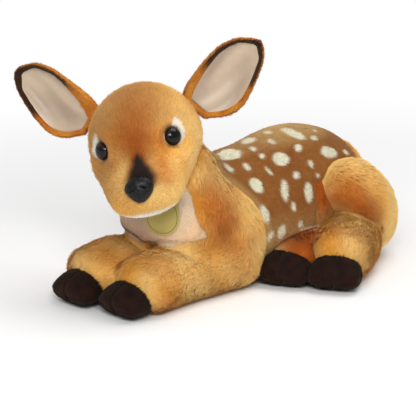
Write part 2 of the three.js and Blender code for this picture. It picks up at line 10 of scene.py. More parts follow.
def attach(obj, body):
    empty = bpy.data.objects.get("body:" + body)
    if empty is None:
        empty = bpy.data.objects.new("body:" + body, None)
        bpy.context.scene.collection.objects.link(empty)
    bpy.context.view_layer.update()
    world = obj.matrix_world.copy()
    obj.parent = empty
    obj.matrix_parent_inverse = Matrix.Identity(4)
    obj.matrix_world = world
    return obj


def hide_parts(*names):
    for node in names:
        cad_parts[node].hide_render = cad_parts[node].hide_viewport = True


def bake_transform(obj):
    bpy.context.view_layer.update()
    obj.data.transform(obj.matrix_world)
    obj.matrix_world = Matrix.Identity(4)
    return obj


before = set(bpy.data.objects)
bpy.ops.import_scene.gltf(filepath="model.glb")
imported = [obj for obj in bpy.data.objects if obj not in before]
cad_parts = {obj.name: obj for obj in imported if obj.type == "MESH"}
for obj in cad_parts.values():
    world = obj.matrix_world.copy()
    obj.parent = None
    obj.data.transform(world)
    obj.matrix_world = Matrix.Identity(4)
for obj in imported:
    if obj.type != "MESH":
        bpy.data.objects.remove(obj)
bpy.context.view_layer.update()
mm = 0.001
scene = bpy.context.scene
print("frame loaded:", len(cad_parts), "nodes")


# Colours, written as they are seen on a screen
def paint(red, green, blue):
    share = np.array([red, green, blue]) / 255
    return np.where(share <= 0.04045, share / 12.92, ((share + 0.055) / 1.055) ** 2.4)


colours = {
    "paleGold": paint(250, 210, 130),
    "gold": paint(236, 168, 68),
    "rust": paint(196, 100, 24),
    "deepRust": paint(152, 68, 12),
    "tan": paint(206, 166, 106),
    "fawn": paint(180, 126, 68),
    "russet": paint(172, 98, 40),
    "brown": paint(162, 102, 46),
    "deepBrown": paint(150, 88, 38),
    "cream": paint(240, 236, 208),
    "bib": paint(252, 214, 170),
    "rosy": paint(216, 186, 164),
    "white": paint(246, 240, 226),
    "nearBlack": paint(44, 32, 28),
    "umber": paint(96, 58, 34),
    "hoof": paint(50, 26, 19),
    "hoofShade": paint(26, 18, 17),
    "hoofSeam": paint(24, 16, 14),
    "satin": paint(204, 182, 156),
    # painted shade for the ear lining's folds
    "satinPaintedShade": paint(132, 110, 94),
}
# Stuffed forms press flat below and round off at their ends
stuffing = {"pressed": 0.72, "roundedEnd": 0.16}


def curvePoint(points, t):
    last = len(points) - 1
    i = min(int(last * t), last - 1)
    w = last * t - i
    p1, p2 = points[i], points[i + 1]
    p0 = points[i - 1] if i > 0 else 2 * points[0] - points[1]
    p3 = points[i + 2] if i + 2 <= last else 2 * points[last] - points[last - 1]
    d0, d1, d2 = (math.sqrt(np.linalg.norm(b - a)) for a, b in ((p0, p1), (p1, p2), (p2, p3)))
    d1 = d1 if d1 > 1e-4 else 1.0
    d0 = d0 if d0 > 1e-4 else d1
    d2 = d2 if d2 > 1e-4 else d1
    t1 = ((p1 - p0) / d0 - (p2 - p0) / (d0 + d1) + (p2 - p1) / d1) * d1
    t2 = ((p2 - p1) / d1 - (p3 - p1) / (d1 + d2) + (p3 - p2) / d2) * d1
    return p1 + t1 * w + (3 * (p2 - p1) - 2 * t1 - t2) * w**2 + (2 * (p1 - p2) + t1 + t2) * w**3


def curveWay(points, t, step=1e-4):
    way = curvePoint(points, min(t + step, 1)) - curvePoint(points, max(t - step, 0))
    return way / np.linalg.norm(way)


# a spine with an oval section that swells, in millimetres along -Y
def stuffedForm(size, rows, grow=0.0, sides=56, rings=44):
    reach, girth = size["reach"], size["girth"]
    spine = np.array([[r[1] * girth, -r[0] * reach, (r[2] + r[3]) / 2 * girth] for r in rows])
    sizes = np.array([[r[4] * girth, (r[3] - r[2]) / 2 * girth, 0] for r in rows])
    angle = np.arange(sides) * 2 * np.pi / sides
    rise = np.sin(angle)
    pressed = np.where(rise < 0, -(np.abs(rise) ** stuffing["pressed"]), rise)[:, None]

    def centre(t):
        return curvePoint(spine, t) + grow * (2 * t - 1) * curveWay(spine, t)

    points = [centre(0)[None]]
    for ring in range(1, rings):
        t = (1 - math.cos(math.pi * ring / rings)) / 2
        fromEnd = min(t, 1 - t) / stuffing["roundedEnd"]
        swell = math.sqrt(1 - (1 - fromEnd) ** 2) if fromEnd < 1 else 1
        along = curveWay(spine, t)
        across = np.cross(along, [0, 0, 1])
        across /= np.linalg.norm(across)
        over = np.cross(across, along)
        wide, tall = curvePoint(sizes, t)[:2]
        points.append(
            centre(t)
            + np.cos(angle)[:, None] * across * (wide + grow) * swell
            + pressed * over * (tall + grow) * swell
        )
    points.append(centre(1)[None])
    side = np.arange(sides)
    after, end = (side + 1) % sides, 1 + (rings - 2) * sides
    tris = [
        np.c_[np.zeros(sides, int), 1 + side, 1 + after],
        1 + bandTris(rings - 1, sides),
        np.c_[np.full(sides, end + sides), end + after, end + side],
    ]
    return np.concatenate(points), np.concatenate(tris)


def ballForm(radius, sides=72):
    rings = sides // 2
    points = [[0, 0, radius]]
    for ring in range(1, rings):
        lat = math.pi * ring / rings
        for side in range(sides):
            lon = 2 * math.pi * side / sides
            out = radius * math.sin(lat)
            points.append([out * math.cos(lon), out * math.sin(lon), radius * math.cos(lat)])
    points.append([0, 0, -radius])
    tris = []
    for side in range(sides):
        after = (side + 1) % sides
        tris.append([0, 1 + side, 1 + after])
        for ring in range(rings - 2):
            a, b = 1 + ring * sides, 1 + (ring + 1) * sides
            tris += [[a + side, b + side, b + after], [a + side, b + after, a + after]]
        a = 1 + (rings - 2) * sides
        tris.append([len(points) - 1, a + after, a + side])
    return np.array(points), np.array(tris)


def placeAt(x, y, z, yaw=0, pitch=0, roll=0):
    turn = (
        Matrix.Rotation(math.radians(yaw), 4, "Z")
        @ Matrix.Rotation(math.radians(pitch), 4, "X")
        @ Matrix.Rotation(math.radians(roll), 4, "Y")
    )
    return np.array(Matrix.Translation((x, y, z)) @ turn)


def movePoints(points, matrix):
    return points @ matrix[:3, :3].T + matrix[:3, 3]


def moved(form, matrix):
    points, tris = form
    turned = tris[:, ::-1] if np.linalg.det(matrix[:3, :3]) < 0 else tris
    return movePoints(points, matrix), turned


# Meshes
def meshFrom(name, points, corners, starts):
    mesh = bpy.data.meshes.new(name)
    mesh.vertices.add(len(points))
    mesh.vertices.foreach_set("co", (points * mm).astype(np.float32).ravel())
    mesh.loops.add(len(corners))
    mesh.loops.foreach_set("vertex_index", corners.astype(np.int32))
    mesh.polygons.add(len(starts))
    mesh.polygons.foreach_set("loop_start", starts.astype(np.int32))
    mesh.update(calc_edges=True)
    mesh.shade_smooth()
    return mesh


def addObject(name, mesh, material):
    obj = bpy.data.objects.new(name, mesh)
    scene.collection.objects.link(obj)
    if material:
        mesh.materials.append(material)
    return obj


def triObject(name, points, tris, material):
    return addObject(name, meshFrom(name, points, tris.ravel(), np.arange(len(tris)) * 3), material)


def fuse(forms, voxel, rounds):
    points, tris, count = [], [], 0
    for formPoints, formTris in forms:
        points.append(formPoints)
        tris.append(formTris + count)
        count += len(formPoints)
    obj = triObject("fusing", np.concatenate(points), np.concatenate(tris), None)
    remesh = obj.modifiers.new("fuse", "REMESH")
    remesh.mode = "VOXEL"
    remesh.voxel_size = voxel * mm
    view = bpy.context.evaluated_depsgraph_get()
    mesh = bpy.data.meshes.new_from_object(obj.evaluated_get(view))
    bpy.data.objects.remove(obj)
    mesh.calc_loop_triangles()
    found = np.zeros(len(mesh.vertices) * 3, np.float32)
    mesh.vertices.foreach_get("co", found)
    corners = np.zeros(len(mesh.loop_triangles) * 3, np.int32)
    mesh.loop_triangles.foreach_get("vertices", corners)
    bpy.data.meshes.remove(mesh)
    points, tris = found.reshape(-1, 3) / mm, corners.reshape(-1, 3).astype(int)
    return relax(points.astype(float), tris, rounds), tris


def pairsOf(tris):
    return np.concatenate([tris[:, [0, 1]], tris[:, [1, 2]], tris[:, [2, 0]]])


def edgesOf(tris):
    return np.unique(np.sort(pairsOf(tris), axis=1), axis=0)


def rimOf(tris):
    pairs = pairsOf(tris)
    _, first, count = np.unique(
        np.sort(pairs, axis=1), axis=0, return_index=True, return_counts=True
    )
    return pairs[first[count == 1]]


def wallOf(rim, n):
    # joins each edge of a rim to the same edge n points on
    a, b = rim.T
    return np.concatenate([np.c_[b, a, a + n], np.c_[b, a + n, b + n]])


def bandTris(rings, sides, closed=False):
    # joins rings of points that follow one another, and the last to the first where closed
    side = np.arange(sides)
    after, tris = (side + 1) % sides, []
    for ring in range(rings if closed else rings - 1):
        a, b = ring * sides, (ring + 1) % rings * sides
        tris += [np.c_[a + side, b + side, b + after], np.c_[a + side, b + after, a + after]]
    return np.concatenate(tris)


def relax(points, tris, rounds, free=None):
    edges = edgesOf(tris)
    a, b = edges.T
    count = np.bincount(edges.ravel(), minlength=len(points))[:, None]
    for _ in range(rounds):
        total = np.zeros_like(points)
        for k in range(3):
            total[:, k] = np.bincount(a, points[b, k], len(points))
            total[:, k] += np.bincount(b, points[a, k], len(points))
        shift = 0.5 * (total / np.maximum(count, 1) - points)
        points = points + (shift if free is None else shift * free[:, None])
    return points


def normalsOf(points, tris):
    a, b, c = (points[tris[:, k]] for k in range(3))
    face = np.cross(b - a, c - a)
    total = np.stack(
        [
            sum(np.bincount(tris[:, k], face[:, axis], len(points)) for k in range(3))
            for axis in range(3)
        ],
        axis=1,
    )
    return total / np.maximum(np.linalg.norm(total, axis=1), 1e-12)[:, None]


def treeOf(form):
    points, tris = form
    return BVHTree.FromPolygons(points.tolist(), tris.tolist())


def depthIn(points, tree, reach=1e4):
    # how far outside the form each point lies, below zero inside, and what is nearest
    depth = np.full(len(points), reach)
    places, normals = points.copy(), np.zeros_like(points)
    for i, point in enumerate(points.tolist()):
        place, normal, _, distance = tree.find_nearest(point, reach)
        if place is None:
            continue
        away = sum((p - q) * n for p, q, n in zip(point, place, normal))
        depth[i] = distance if away >= 0 else -distance
        places[i], normals[i] = place, normal
    return depth, places, normals


def keepClear(points, tree, gap, closed=None):
    # closed: a clean form that has the last word on what is inside
    depth, places, normals = depthIn(points, tree)
    inside = depth < gap
    if closed:
        inside &= depthIn(points, closed)[0] < 4
    return np.where(inside[:, None], places + normals * gap, points)


def wander(points, size, seed, ways=9):
    # a smooth field that wanders between about -1 and 1
    random = np.random.default_rng(seed)
    value = np.zeros(len(points))
    for _ in range(ways):
        way = random.normal(size=3)
        way *= 2 * np.pi / (size * random.uniform(0.7, 1.5)) / np.linalg.norm(way)
        value += np.sin(points @ way + random.uniform(0, 2 * np.pi))
    return value / math.sqrt(ways / 2) / 1.6


def softStep(value, low, high):
    t = np.clip((value - low) / (high - low), 0, 1)
    return t * t * (3 - 2 * t)


def blended(colour, other, share):
    return colour + (np.asarray(other) - colour) * np.clip(share, 0, 1)[:, None]


# Effects that several finishes share
def newGroup(name, inputs, outputs):
    tree = bpy.data.node_groups.new(name, "ShaderNodeTree")
    for label, kind, value in inputs:
        socket = tree.interface.new_socket(name=label, in_out="INPUT", socket_type=kind)
        socket.default_value = value
    for label, kind in outputs:
        tree.interface.new_socket(name=label, in_out="OUTPUT", socket_type=kind)
    return tree, tree.nodes.new("NodeGroupInput"), tree.nodes.new("NodeGroupOutput")


def makeNode(tree, kind, values=(), **settings):
    node = tree.nodes.new(kind)
    for key, value in settings.items():
        setattr(node, key, value)
    for key, value in dict(values).items():
        node.inputs[key].default_value = value
    return node


def buildPileGroup():
    tree, given, made = newGroup(
        "pileShade",
        [
            ("Tint", "NodeSocketColor", (0.5, 0.3, 0.1, 1)),
            ("Along", "NodeSocketFloat", 0.5),
            ("Root", "NodeSocketFloat", 0.6),
            ("Tip", "NodeSocketFloat", 1.1),
            ("Blotch size", "NodeSocketFloat", 60.0),
            ("Blotch", "NodeSocketFloat", 0.12),
        ],
        [("Colour", "NodeSocketColor"), ("Roughness", "NodeSocketFloat")],
    )
    link = tree.links.new
    place = makeNode(tree, "ShaderNodeTexCoord")
    noise = makeNode(tree, "ShaderNodeTexNoise", {"Detail": 3.0, "Roughness": 0.6})
    link(place.outputs["Object"], noise.inputs["Vector"])
    link(given.outputs["Blotch size"], noise.inputs["Scale"])
    # painted shade and light: the colour runs from Root, darker as shade among the tufts, to Tip,
    # lighter at the tips
    deep = makeNode(tree, "ShaderNodeMapRange")
    link(given.outputs["Along"], deep.inputs["Value"])
    link(given.outputs["Root"], deep.inputs["To Min"])
    link(given.outputs["Tip"], deep.inputs["To Max"])
    centred = makeNode(tree, "ShaderNodeMath", {1: 0.5}, operation="SUBTRACT")
    link(noise.outputs["Fac"], centred.inputs[0])
    scaled = makeNode(tree, "ShaderNodeMath", {2: 1.0}, operation="MULTIPLY_ADD")
    link(centred.outputs[0], scaled.inputs[0])
    link(given.outputs["Blotch"], scaled.inputs[1])
    level = makeNode(tree, "ShaderNodeMath", operation="MULTIPLY")
    link(deep.outputs["Result"], level.inputs[0])
    link(scaled.outputs[0], level.inputs[1])
    shade = makeNode(tree, "ShaderNodeVectorMath", operation="SCALE")
    link(given.outputs["Tint"], shade.inputs[0])
    link(level.outputs[0], shade.inputs["Scale"])
    rough = makeNode(tree, "ShaderNodeMapRange", {"To Min": 0.95, "To Max": 0.62})
    link(given.outputs["Along"], rough.inputs["Value"])
    link(shade.outputs["Vector"], made.inputs["Colour"])
    link(rough.outputs["Result"], made.inputs["Roughness"])
    return tree


def buildGrainGroup():
    tree, given, made = newGroup(
        "grain",
        [
            ("Colour", "NodeSocketColor", (0.5, 0.5, 0.5, 1)),
            ("Size", "NodeSocketFloat", 900.0),
            ("Variation", "NodeSocketFloat", 0.3),
            ("Depth", "NodeSocketFloat", 0.3),
        ],
        [("Colour", "NodeSocketColor"), ("Normal", "NodeSocketVector")],
    )
    link = tree.links.new
    place = makeNode(tree, "ShaderNodeTexCoord")
    fine = makeNode(tree, "ShaderNodeTexNoise", {"Detail": 4.0, "Roughness": 0.65})
    broad = makeNode(tree, "ShaderNodeTexNoise", {"Scale": 70.0, "Detail": 3.0})
    link(place.outputs["Object"], fine.inputs["Vector"])
    link(place.outputs["Object"], broad.inputs["Vector"])
    link(given.outputs["Size"], fine.inputs["Scale"])
    both = makeNode(tree, "ShaderNodeMath", operation="ADD")
    link(fine.outputs["Fac"], both.inputs[0])
    link(broad.outputs["Fac"], both.inputs[1])
    centred = makeNode(tree, "ShaderNodeMath", {1: 1.0}, operation="SUBTRACT")
    link(both.outputs[0], centred.inputs[0])
    level = makeNode(tree, "ShaderNodeMath", {2: 1.0}, operation="MULTIPLY_ADD")
    link(centred.outputs[0], level.inputs[0])
    link(given.outputs["Variation"], level.inputs[1])
    shade = makeNode(tree, "ShaderNodeVectorMath", operation="SCALE")
    link(given.outputs["Colour"], shade.inputs[0])
    link(level.outputs[0], shade.inputs["Scale"])
    bump = makeNode(tree, "ShaderNodeBump", {"Distance": 0.0006})
    link(fine.outputs["Fac"], bump.inputs["Height"])
    link(given.outputs["Depth"], bump.inputs["Strength"])
    link(shade.outputs["Vector"], made.inputs["Colour"])
    link(bump.outputs["Normal"], made.inputs["Normal"])
    return tree


pileGroup = buildPileGroup()
grainGroup = buildGrainGroup()


def newMaterial(name, roughness=0.8, sheen=0.0, specular=0.5):
    material = bpy.data.materials.new(name)
    material.use_nodes = True
    shader = material.node_tree.nodes["Principled BSDF"]
    shader.inputs["Roughness"].default_value = roughness
    shader.inputs["Sheen Weight"].default_value = sheen
    shader.inputs["Sheen Roughness"].default_value = 0.5
    shader.inputs["Specular IOR Level"].default_value = specular
    return material, material.node_tree, shader


# root sets the painted shade at the pile's roots, and tip the painted light at its tips
def pileMaterial(name, root=0.74, tip=1.1, blotch=0.3, blotchSize=70.0, sheen=0.22):
    material, tree, shader = newMaterial(name, specular=0.1, sheen=sheen)
    shader.inputs["Sheen Tint"].default_value = (1, 0.86, 0.62, 1)
    tint = makeNode(tree, "ShaderNodeAttribute", attribute_name="tint")
    along = makeNode(tree, "ShaderNodeAttribute", attribute_name="along")
    values = {"Root": root, "Tip": tip, "Blotch": blotch, "Blotch size": blotchSize}
    group = makeNode(tree, "ShaderNodeGroup", values, node_tree=pileGroup)
    tree.links.new(tint.outputs["Color"], group.inputs["Tint"])
    tree.links.new(along.outputs["Fac"], group.inputs["Along"])
    tree.links.new(group.outputs["Colour"], shader.inputs["Base Color"])
    tree.links.new(group.outputs["Roughness"], shader.inputs["Roughness"])
    return material


def grainMaterial(name, colour, size, variation, depth, **looks):
    # a colour of None is read from the mesh's tint
    material, tree, shader = newMaterial(name, **looks)
    values = {"Size": size, "Variation": variation, "Depth": depth}
    group = makeNode(tree, "ShaderNodeGroup", values, node_tree=grainGroup)
    if colour is None:
        tint = makeNode(tree, "ShaderNodeAttribute", attribute_name="tint")
        tree.links.new(tint.outputs["Color"], group.inputs["Colour"])
    else:
        group.inputs["Colour"].default_value = (*colour, 1)
    tree.links.new(group.outputs["Colour"], shader.inputs["Base Color"])
    tree.links.new(group.outputs["Normal"], shader.inputs["Normal"])
    return material


finishes = {
    "gold_pile": pileMaterial("goldPile"),
    "rust_pile": pileMaterial("rustPile", root=0.7, tip=1.06),
    "spotted_pile": pileMaterial(
        "spottedPile", root=0.75, tip=1.05, blotch=0.4, blotchSize=90.0
    ),
    "cream_pile": pileMaterial("creamPile", root=0.86, tip=1.03, blotch=0.14),
    "hoof_suede": pileMaterial(
        "hoofSuede", root=0.6, tip=1.25, blotch=0.7, blotchSize=120.0, sheen=0.1
    ),
    "ear_satin": grainMaterial("earSatin", None, 260.0, 0.2, 0.12, roughness=0.4, sheen=0.1),
    "fibre_filling": grainMaterial(
        "fibreFilling", paint(242, 242, 238), 500.0, 0.2, 0.8, roughness=0.95
    ),
    "pouch_cloth": grainMaterial(
        "pouchCloth", paint(205, 209, 212), 1400.0, 0.2, 0.5, roughness=0.9
    ),
    "washer_plastic": grainMaterial(
        "washerPlastic", paint(243, 243, 243), 700.0, 0.05, 0.1, roughness=0.45
    ),
    "disc_cloth": grainMaterial(
        "discCloth", paint(186, 168, 88), 1500.0, 0.35, 0.5, roughness=0.55, sheen=0.2
    ),
    "nose_plastic": grainMaterial(
        "noseLeather", paint(12, 13, 14), 420.0, 0.5, 0.6, roughness=0.36, specular=0.24
    ),
}
print("finishes made")

# The skin of a sewn piece is an outer surface with cloth behind it, and pile on it
# shade and along darken the skin beneath the pile: painted shade among the tufts
sewn = {"cloth": 1.6, "fill": 0.85, "shade": 0.82, "along": 0.4}
# How every pile lies; what a piece needs otherwise stands with its own pile
pileHabit = {
    "most": 66000,  # tufts on one piece
    "quickShare": 0.5,
    "tuft": 7.0,
    "sway": 0.5,
    "vary": 0.07,
    "lift": 0.06,
    "curl": 0.45,
    "droop": 0.12,
    "lengths": (0.75, 1.2),
    "widths": (0.7, 1.3),
    "taper": 0.8,
    "sunk": 0.3,
    "leaf": 0.22,
    "jitter": {"sway": 0.14, "lift": 0.07, "twist": 0.3, "shade": 0.06},
}


def shellOf(points, tris, thickness):
    behind = points - normalsOf(points, tris) * thickness
    n = len(points)
    return (
        np.concatenate([points, behind]),
        np.concatenate([tris, tris[:, ::-1] + n, wallOf(rimOf(tris), n)]),
    )


def subset(points, tris, keep):
    used = np.unique(tris[keep])
    place = np.full(len(points), -1)
    place[used] = np.arange(len(used))
    return used, place[tris[keep]]


def writeTint(mesh, tint, along):
    colour = mesh.attributes.new("tint", "FLOAT_COLOR", "POINT")
    colour.data.foreach_set("color", np.c_[tint, np.ones(len(tint))].astype(np.float32).ravel())
    value = mesh.attributes.new("along", "FLOAT", "POINT")
    value.data.foreach_set("value", along.astype(np.float32))


def surfaceOf(points, tris, tint, flow, length, normals=None):
    # flow is one way or a way for each point, and length a share of the pile's
    return {
        "points": points,
        "tris": tris,
        "normals": normalsOf(points, tris) if normals is None else normals,
        "tint": tint,
        "flow": np.broadcast_to(flow, points.shape),
        "length": length,
    }


def unitWays(ways):
    return ways / np.maximum(np.linalg.norm(ways, axis=1), 1e-6)[:, None]


def growPile(name, surface, ownPile, material):
    pile = {**pileHabit, **ownPile}
    jitter = pileHabit["jitter"]
    points, tris, lengths = surface["points"], surface["tris"], surface["length"]
    random = np.random.default_rng(pile["seed"])
    a, b, c = (points[tris[:, k]] for k in range(3))
    area = np.linalg.norm(np.cross(b - a, c - a), axis=1) / 2
    area = np.where(lengths[tris].min(axis=1) > 0.02, area, 0)
    thinning = 1.0
    total = int(min(area.sum() * pile["perMm2"] * thinning, pile["most"]))
    face = np.sort(random.choice(len(tris), total, p=area / area.sum()))
    u, v = random.random((2, total))
    over = u + v > 1
    u[over], v[over] = 1 - u[over], 1 - v[over]
    weights = np.stack([1 - u - v, u, v], axis=1)

    def pick(values):
        shares = weights.reshape(total, 3, *[1] * (values.ndim - 1))
        return (values[tris[face]] * shares).sum(axis=1)

    root, normal, flow, tint = (pick(surface[key]) for key in ("points", "normals", "flow", "tint"))
    share = pick(lengths)
    normal /= np.linalg.norm(normal, axis=1)[:, None]
    flow = unitWays(flow - (flow * normal).sum(axis=1)[:, None] * normal)
    sideways = np.cross(normal, flow)
    sway = wander(root, pile["tuft"], pile["seed"] + 1) * pile["sway"]
    sway = sway + random.normal(size=total) * jitter["sway"]
    lift = wander(root, pile["tuft"] * 0.8, pile["seed"] + 2) * pile["lift"]
    lift = lift + random.normal(size=total) * jitter["lift"]
    lean = np.clip(pile["lean"] + lift, 0.05, 0.95)[:, None]
    way = flow * np.cos(sway)[:, None] + sideways * np.sin(sway)[:, None]
    start = normal * (1 - lean) + way * lean
    start /= np.linalg.norm(start, axis=1)[:, None]
    bend = start + way * pile["curl"] + np.array([0, 0, -pile["droop"]])
    bend /= np.linalg.norm(bend, axis=1)[:, None]
    length = (pile["length"] * share * random.uniform(*pile["lengths"], total))[:, None]
    middle = root + start * length * 0.5
    tip = middle + bend * length * 0.5
    twist = random.normal(size=total) * jitter["twist"]
    flat = unitWays(np.cross(start, normal))
    edge = flat * np.cos(twist)[:, None] + np.cross(start, flat) * np.sin(twist)[:, None]
    half = edge * (pile["width"] / 2 * random.uniform(*pile["widths"], total))[:, None]
    tip[:, 2] = np.maximum(tip[:, 2], 0.15)
    middle[:, 2] = np.maximum(middle[:, 2], 0.1)
    sunk, thin = root - normal * pile["sunk"], half * pile["taper"]
    blades = np.stack([sunk - half, sunk + half, middle + thin, middle - thin, tip], axis=1)
    # each tuft is a quad with a triangle on it
    corners = (np.arange(total)[:, None] * 5 + np.array([0, 1, 2, 3, 3, 2, 4])).ravel()
    starts = (np.arange(total)[:, None] * 7 + np.array([0, 4])).ravel()
    mesh = meshFrom(name, blades.reshape(-1, 3), corners, starts)
    brightness = random.normal(1, pile["vary"], total)[:, None]
    # along runs from 0 at the root to 1 at the tip, for the painted shade at the roots
    along = np.tile([0, 0, 0.55, 0.55, 1.0], total)
    writeTint(mesh, np.repeat(tint * brightness, 5, axis=0), along)
    leaf = np.cross(edge, start)
    leaf *= np.sign((leaf * normal).sum(axis=1))[:, None]
    shading = normal * (1 - pile["leaf"]) + leaf * pile["leaf"]
    shading = shading + random.normal(size=(total, 3)) * jitter["shade"]
    shading /= np.linalg.norm(shading, axis=1)[:, None]
    mesh.normals_split_custom_set_from_vertices(np.repeat(shading, 5, axis=0).tolist())
    # every tuft has a cell of its own for baking
    rows = int(math.ceil(math.sqrt(total)))
    cell = np.stack([np.arange(total) // rows, np.arange(total) % rows], axis=1) / rows
    quad = [[0.1, 0], [0.9, 0], [0.8, 0.5], [0.2, 0.5]]
    corner = np.array(quad + [[0.2, 0.5], [0.8, 0.5], [0.5, 0.98]]) / rows
    layer = mesh.uv_layers.new(name="OFBake")
    layer.uv.foreach_set("vector", (cell[:, None] + corner).astype(np.float32).ravel())
    return addObject(name, mesh, material)


def dress(name, surface, pile, slotName, nodes, body="trunk", blend=None):
    # a sewn skin and its pile, riding on one body, or, where a blend is given, left free of any
    # body with its placement baked in
    closed, tris = shellOf(surface["points"], surface["tris"], sewn["cloth"])
    skin = triObject(name, closed, tris, finishes[slotName])
    # painted shade: the skin beneath the pile is darker than the tufts
    tint = surface["tint"] * sewn["shade"]
    writeTint(skin.data, np.concatenate([tint, tint]), np.full(len(closed), sewn["along"]))
    hairs = growPile(name + "_pile", surface, pile, finishes[slotName])
    for piece in (skin, hairs):
        if blend:
            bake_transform(piece)
        else:
            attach(piece, body)
    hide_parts(*nodes)


def blobShade(points, tint, blobs):
    # soft patches, some airbrushed and some painted light or shade: place, radius, strength and
    # colour
    for place, radius, strength, colour in blobs:
        away = np.linalg.norm(points - np.array(place), axis=1) / radius
        tint = blended(tint, colours[colour], strength * np.exp(-(away**2)))
    return tint


def baldNear(points, trees, near=1.2):
    # 1 where pile may grow, 0 where another piece touches
    share = np.ones(len(points))
    for tree in trees:
        depth, _, _ = depthIn(points, tree, 30.0)
        share *= softStep(depth, near * 0.5, near * 2.5)
    return share


# The trunk
trunk = {"reach": 280, "girth": 136, "front": 156}
neck = {
    "reach": 84,
    "girth": 80,
    "back": 66,
    "rise": 76,
    "pitch": 42,
    "open": 43,
    "hole": 24,
    "flex": (44, 26),
}
shoulder = {"reach": 76, "girth": 58, "side": 9, "back": 69, "rise": 102}
restDepth = 0.5
trunkRows = [
    [0, 0.04, 0.34, 0.74, 0.34],
    [0.08, 0.04, 0.28, 0.79, 0.36],
    [0.2, 0.02, 0.18, 0.87, 0.355],
    [0.34, 0, 0.02, 0.88, 0.35],
    [0.5, 0, -0.03, 0.89, 0.37],
    [0.69, 0, -0.03, 0.94, 0.4],
    [0.84, 0, -0.01, 0.86, 0.38],
    [0.94, 0, 0.05, 0.74, 0.33],
    [1, 0, 0.14, 0.6, 0.24],
]
neckRows = [[0, 0, -0.56, 0.4, 0.54], [0.45, 0, -0.52, 0.37, 0.48], [1, 0, -0.42, 0.35, 0.42]]
shoulderRows = [
    [0, 0, -0.36, 0.36, 0.34],
    [0.35, 0.18, -0.5, 0.5, 0.46],
    [0.75, 0.26, -0.5, 0.44, 0.46],
    [1, 0.26, -0.5, 0.3, 0.38],
]
skullCentre = np.array([-10.0, -143.0, 145.0])
headMatrix = placeAt(*skullCentre, yaw=37, pitch=4, roll=-14)


def torsoForms(grow):
    upperArm = stuffedForm(shoulder, shoulderRows, grow)
    arms = {1: upperArm, -1: moved(upperArm, np.diag([-1.0, 1.0, 1.0, 1.0]))}
    trunkAt = placeAt(0, -trunk["front"], -restDepth, yaw=180)
    neckAt = placeAt(0, -neck["back"], neck["rise"], pitch=-neck["pitch"])
    forms = [
        moved(stuffedForm(trunk, trunkRows, grow), trunkAt),
        moved(stuffedForm(neck, neckRows, grow), neckAt),
    ]
    for hand, arm in arms.items():
        x, y, z = hand * shoulder["side"], -shoulder["back"], shoulder["rise"]
        forms.append(moved(arm, placeAt(x, y, z, pitch=90)))
    return forms


# Legs and hooves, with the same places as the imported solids
hoof = {
    "reach": 42,
    "girth": 46,
    "seat": 22,
    "lip": 3,
    "seamDepth": 0.8,
    "tuckDepth": 2.2,
    "foldDepth": 0.5,
}
hoofRows = [
    [0, 0, -0.5, 0.14, 0.4],
    [0.3, 0, -0.5, 0.2, 0.48],
    [0.6, 0, -0.5, 0.16, 0.54],
    [0.86, 0, -0.5, 0.02, 0.52],
    [1, 0, -0.46, -0.14, 0.42],
]
foreleg = {"reach": 158, "girth": 54, "yaw": -4, "at": {"left": (29, -36), "right": (-26, -40)}}
forelegRows = [
    [0, 0, -0.44, 0.42, 0.42],
    [0.25, 0, -0.5, 0.46, 0.5],
    [0.5, 0, -0.5, 0.42, 0.48],
    [0.72, 0, -0.5, 0.48, 0.52],
    [0.9, 0, -0.5, 0.41, 0.57],
    [1, 0, -0.46, 0.3, 0.57],
]
thigh = {"reach": 100, "girth": 102, "at": (48, 68, 44)}
farThigh = {"reach": 92, "girth": 92, "at": (-34, 66, 40)}
shank = {"reach": 88, "girth": 58, "at": (61, 67), "yaw": 28}
farShank = {"reach": 103, "girth": 44, "at": (-44, 64), "endYaw": 24, "bow": 2.38, "seat": 96}
thighRows = [
    [-0.5, 0, -0.3, 0.3, 0.3],
    [-0.25, 0, -0.42, 0.42, 0.38],
    [0, 0, -0.43, 0.52, 0.42],
    [0.25, 0, -0.38, 0.53, 0.42],
    [0.5, 0, -0.2, 0.5, 0.36],
]
shankRows = [
    [0, 0, -0.5, 0.34, 0.44],
    [0.3, 0, -0.5, 0.44, 0.52],
    [0.65, 0, -0.5, 0.42, 0.52],
    [1, 0, -0.48, 0.3, 0.44],
]
farShankRows = [
    [-0.05, 0, -0.5, 0.36, 0.4],
    [0, 0.9, -0.5, 0.4, 0.44],
    [0.25, 1.75, -0.5, 0.44, 0.5],
    [0.6, 2.2, -0.5, 0.44, 0.54],
    [1, 2.36, -0.48, 0.38, 0.6],
]


def legRise(size):
    return size["girth"] / 2 - restDepth


def hoofPlace(legAt, reach, drop):
    return legAt @ placeAt(0, hoof["seat"] - reach, -drop)


forelegAt = {
    side: placeAt(*at, legRise(foreleg), yaw=foreleg["yaw"])
    for side, at in foreleg["at"].items()
}
shankAt = placeAt(*shank["at"], legRise(shank), yaw=shank["yaw"])
farShankAt = placeAt(*farShank["at"], legRise(farShank))
farShankEnd = farShankAt @ placeAt(
    farShank["bow"] * farShank["girth"], -farShank["seat"], 0, yaw=farShank["endYaw"]
)
thighAt = placeAt(*thigh["at"])
farThighAt = placeAt(*farThigh["at"])
hoofAt = {
    "left_front_hoof": hoofPlace(forelegAt["left"], foreleg["reach"], 4),
    "right_front_hoof": hoofPlace(forelegAt["right"], foreleg["reach"], 4),
    "left_hind_hoof": hoofPlace(shankAt, shank["reach"], 6),
    "right_hind_hoof": hoofPlace(farShankEnd, 0, -1),
}
limbGrow = -1.2
forelegOuter = {
    side: moved(stuffedForm(foreleg, forelegRows, limbGrow), at) for side, at in forelegAt.items()
}
bodyForm = fuse(torsoForms(-1.0) + list(forelegOuter.values()), 2.2, 6)
torsoForm = fuse(torsoForms(-1.0), 2.4, 6)
# the front edge of the haunch, as y at each height; there it rounds off into the flank
haunch = {
    "heights": [30, 43, 57, 74, 84, 91, 96, 100],
    "edge": [60, 53, 40, 30, 28, 35, 49, 66],
    "round": 13,
    "inside": 34,
    "fillingInset": 11,
}


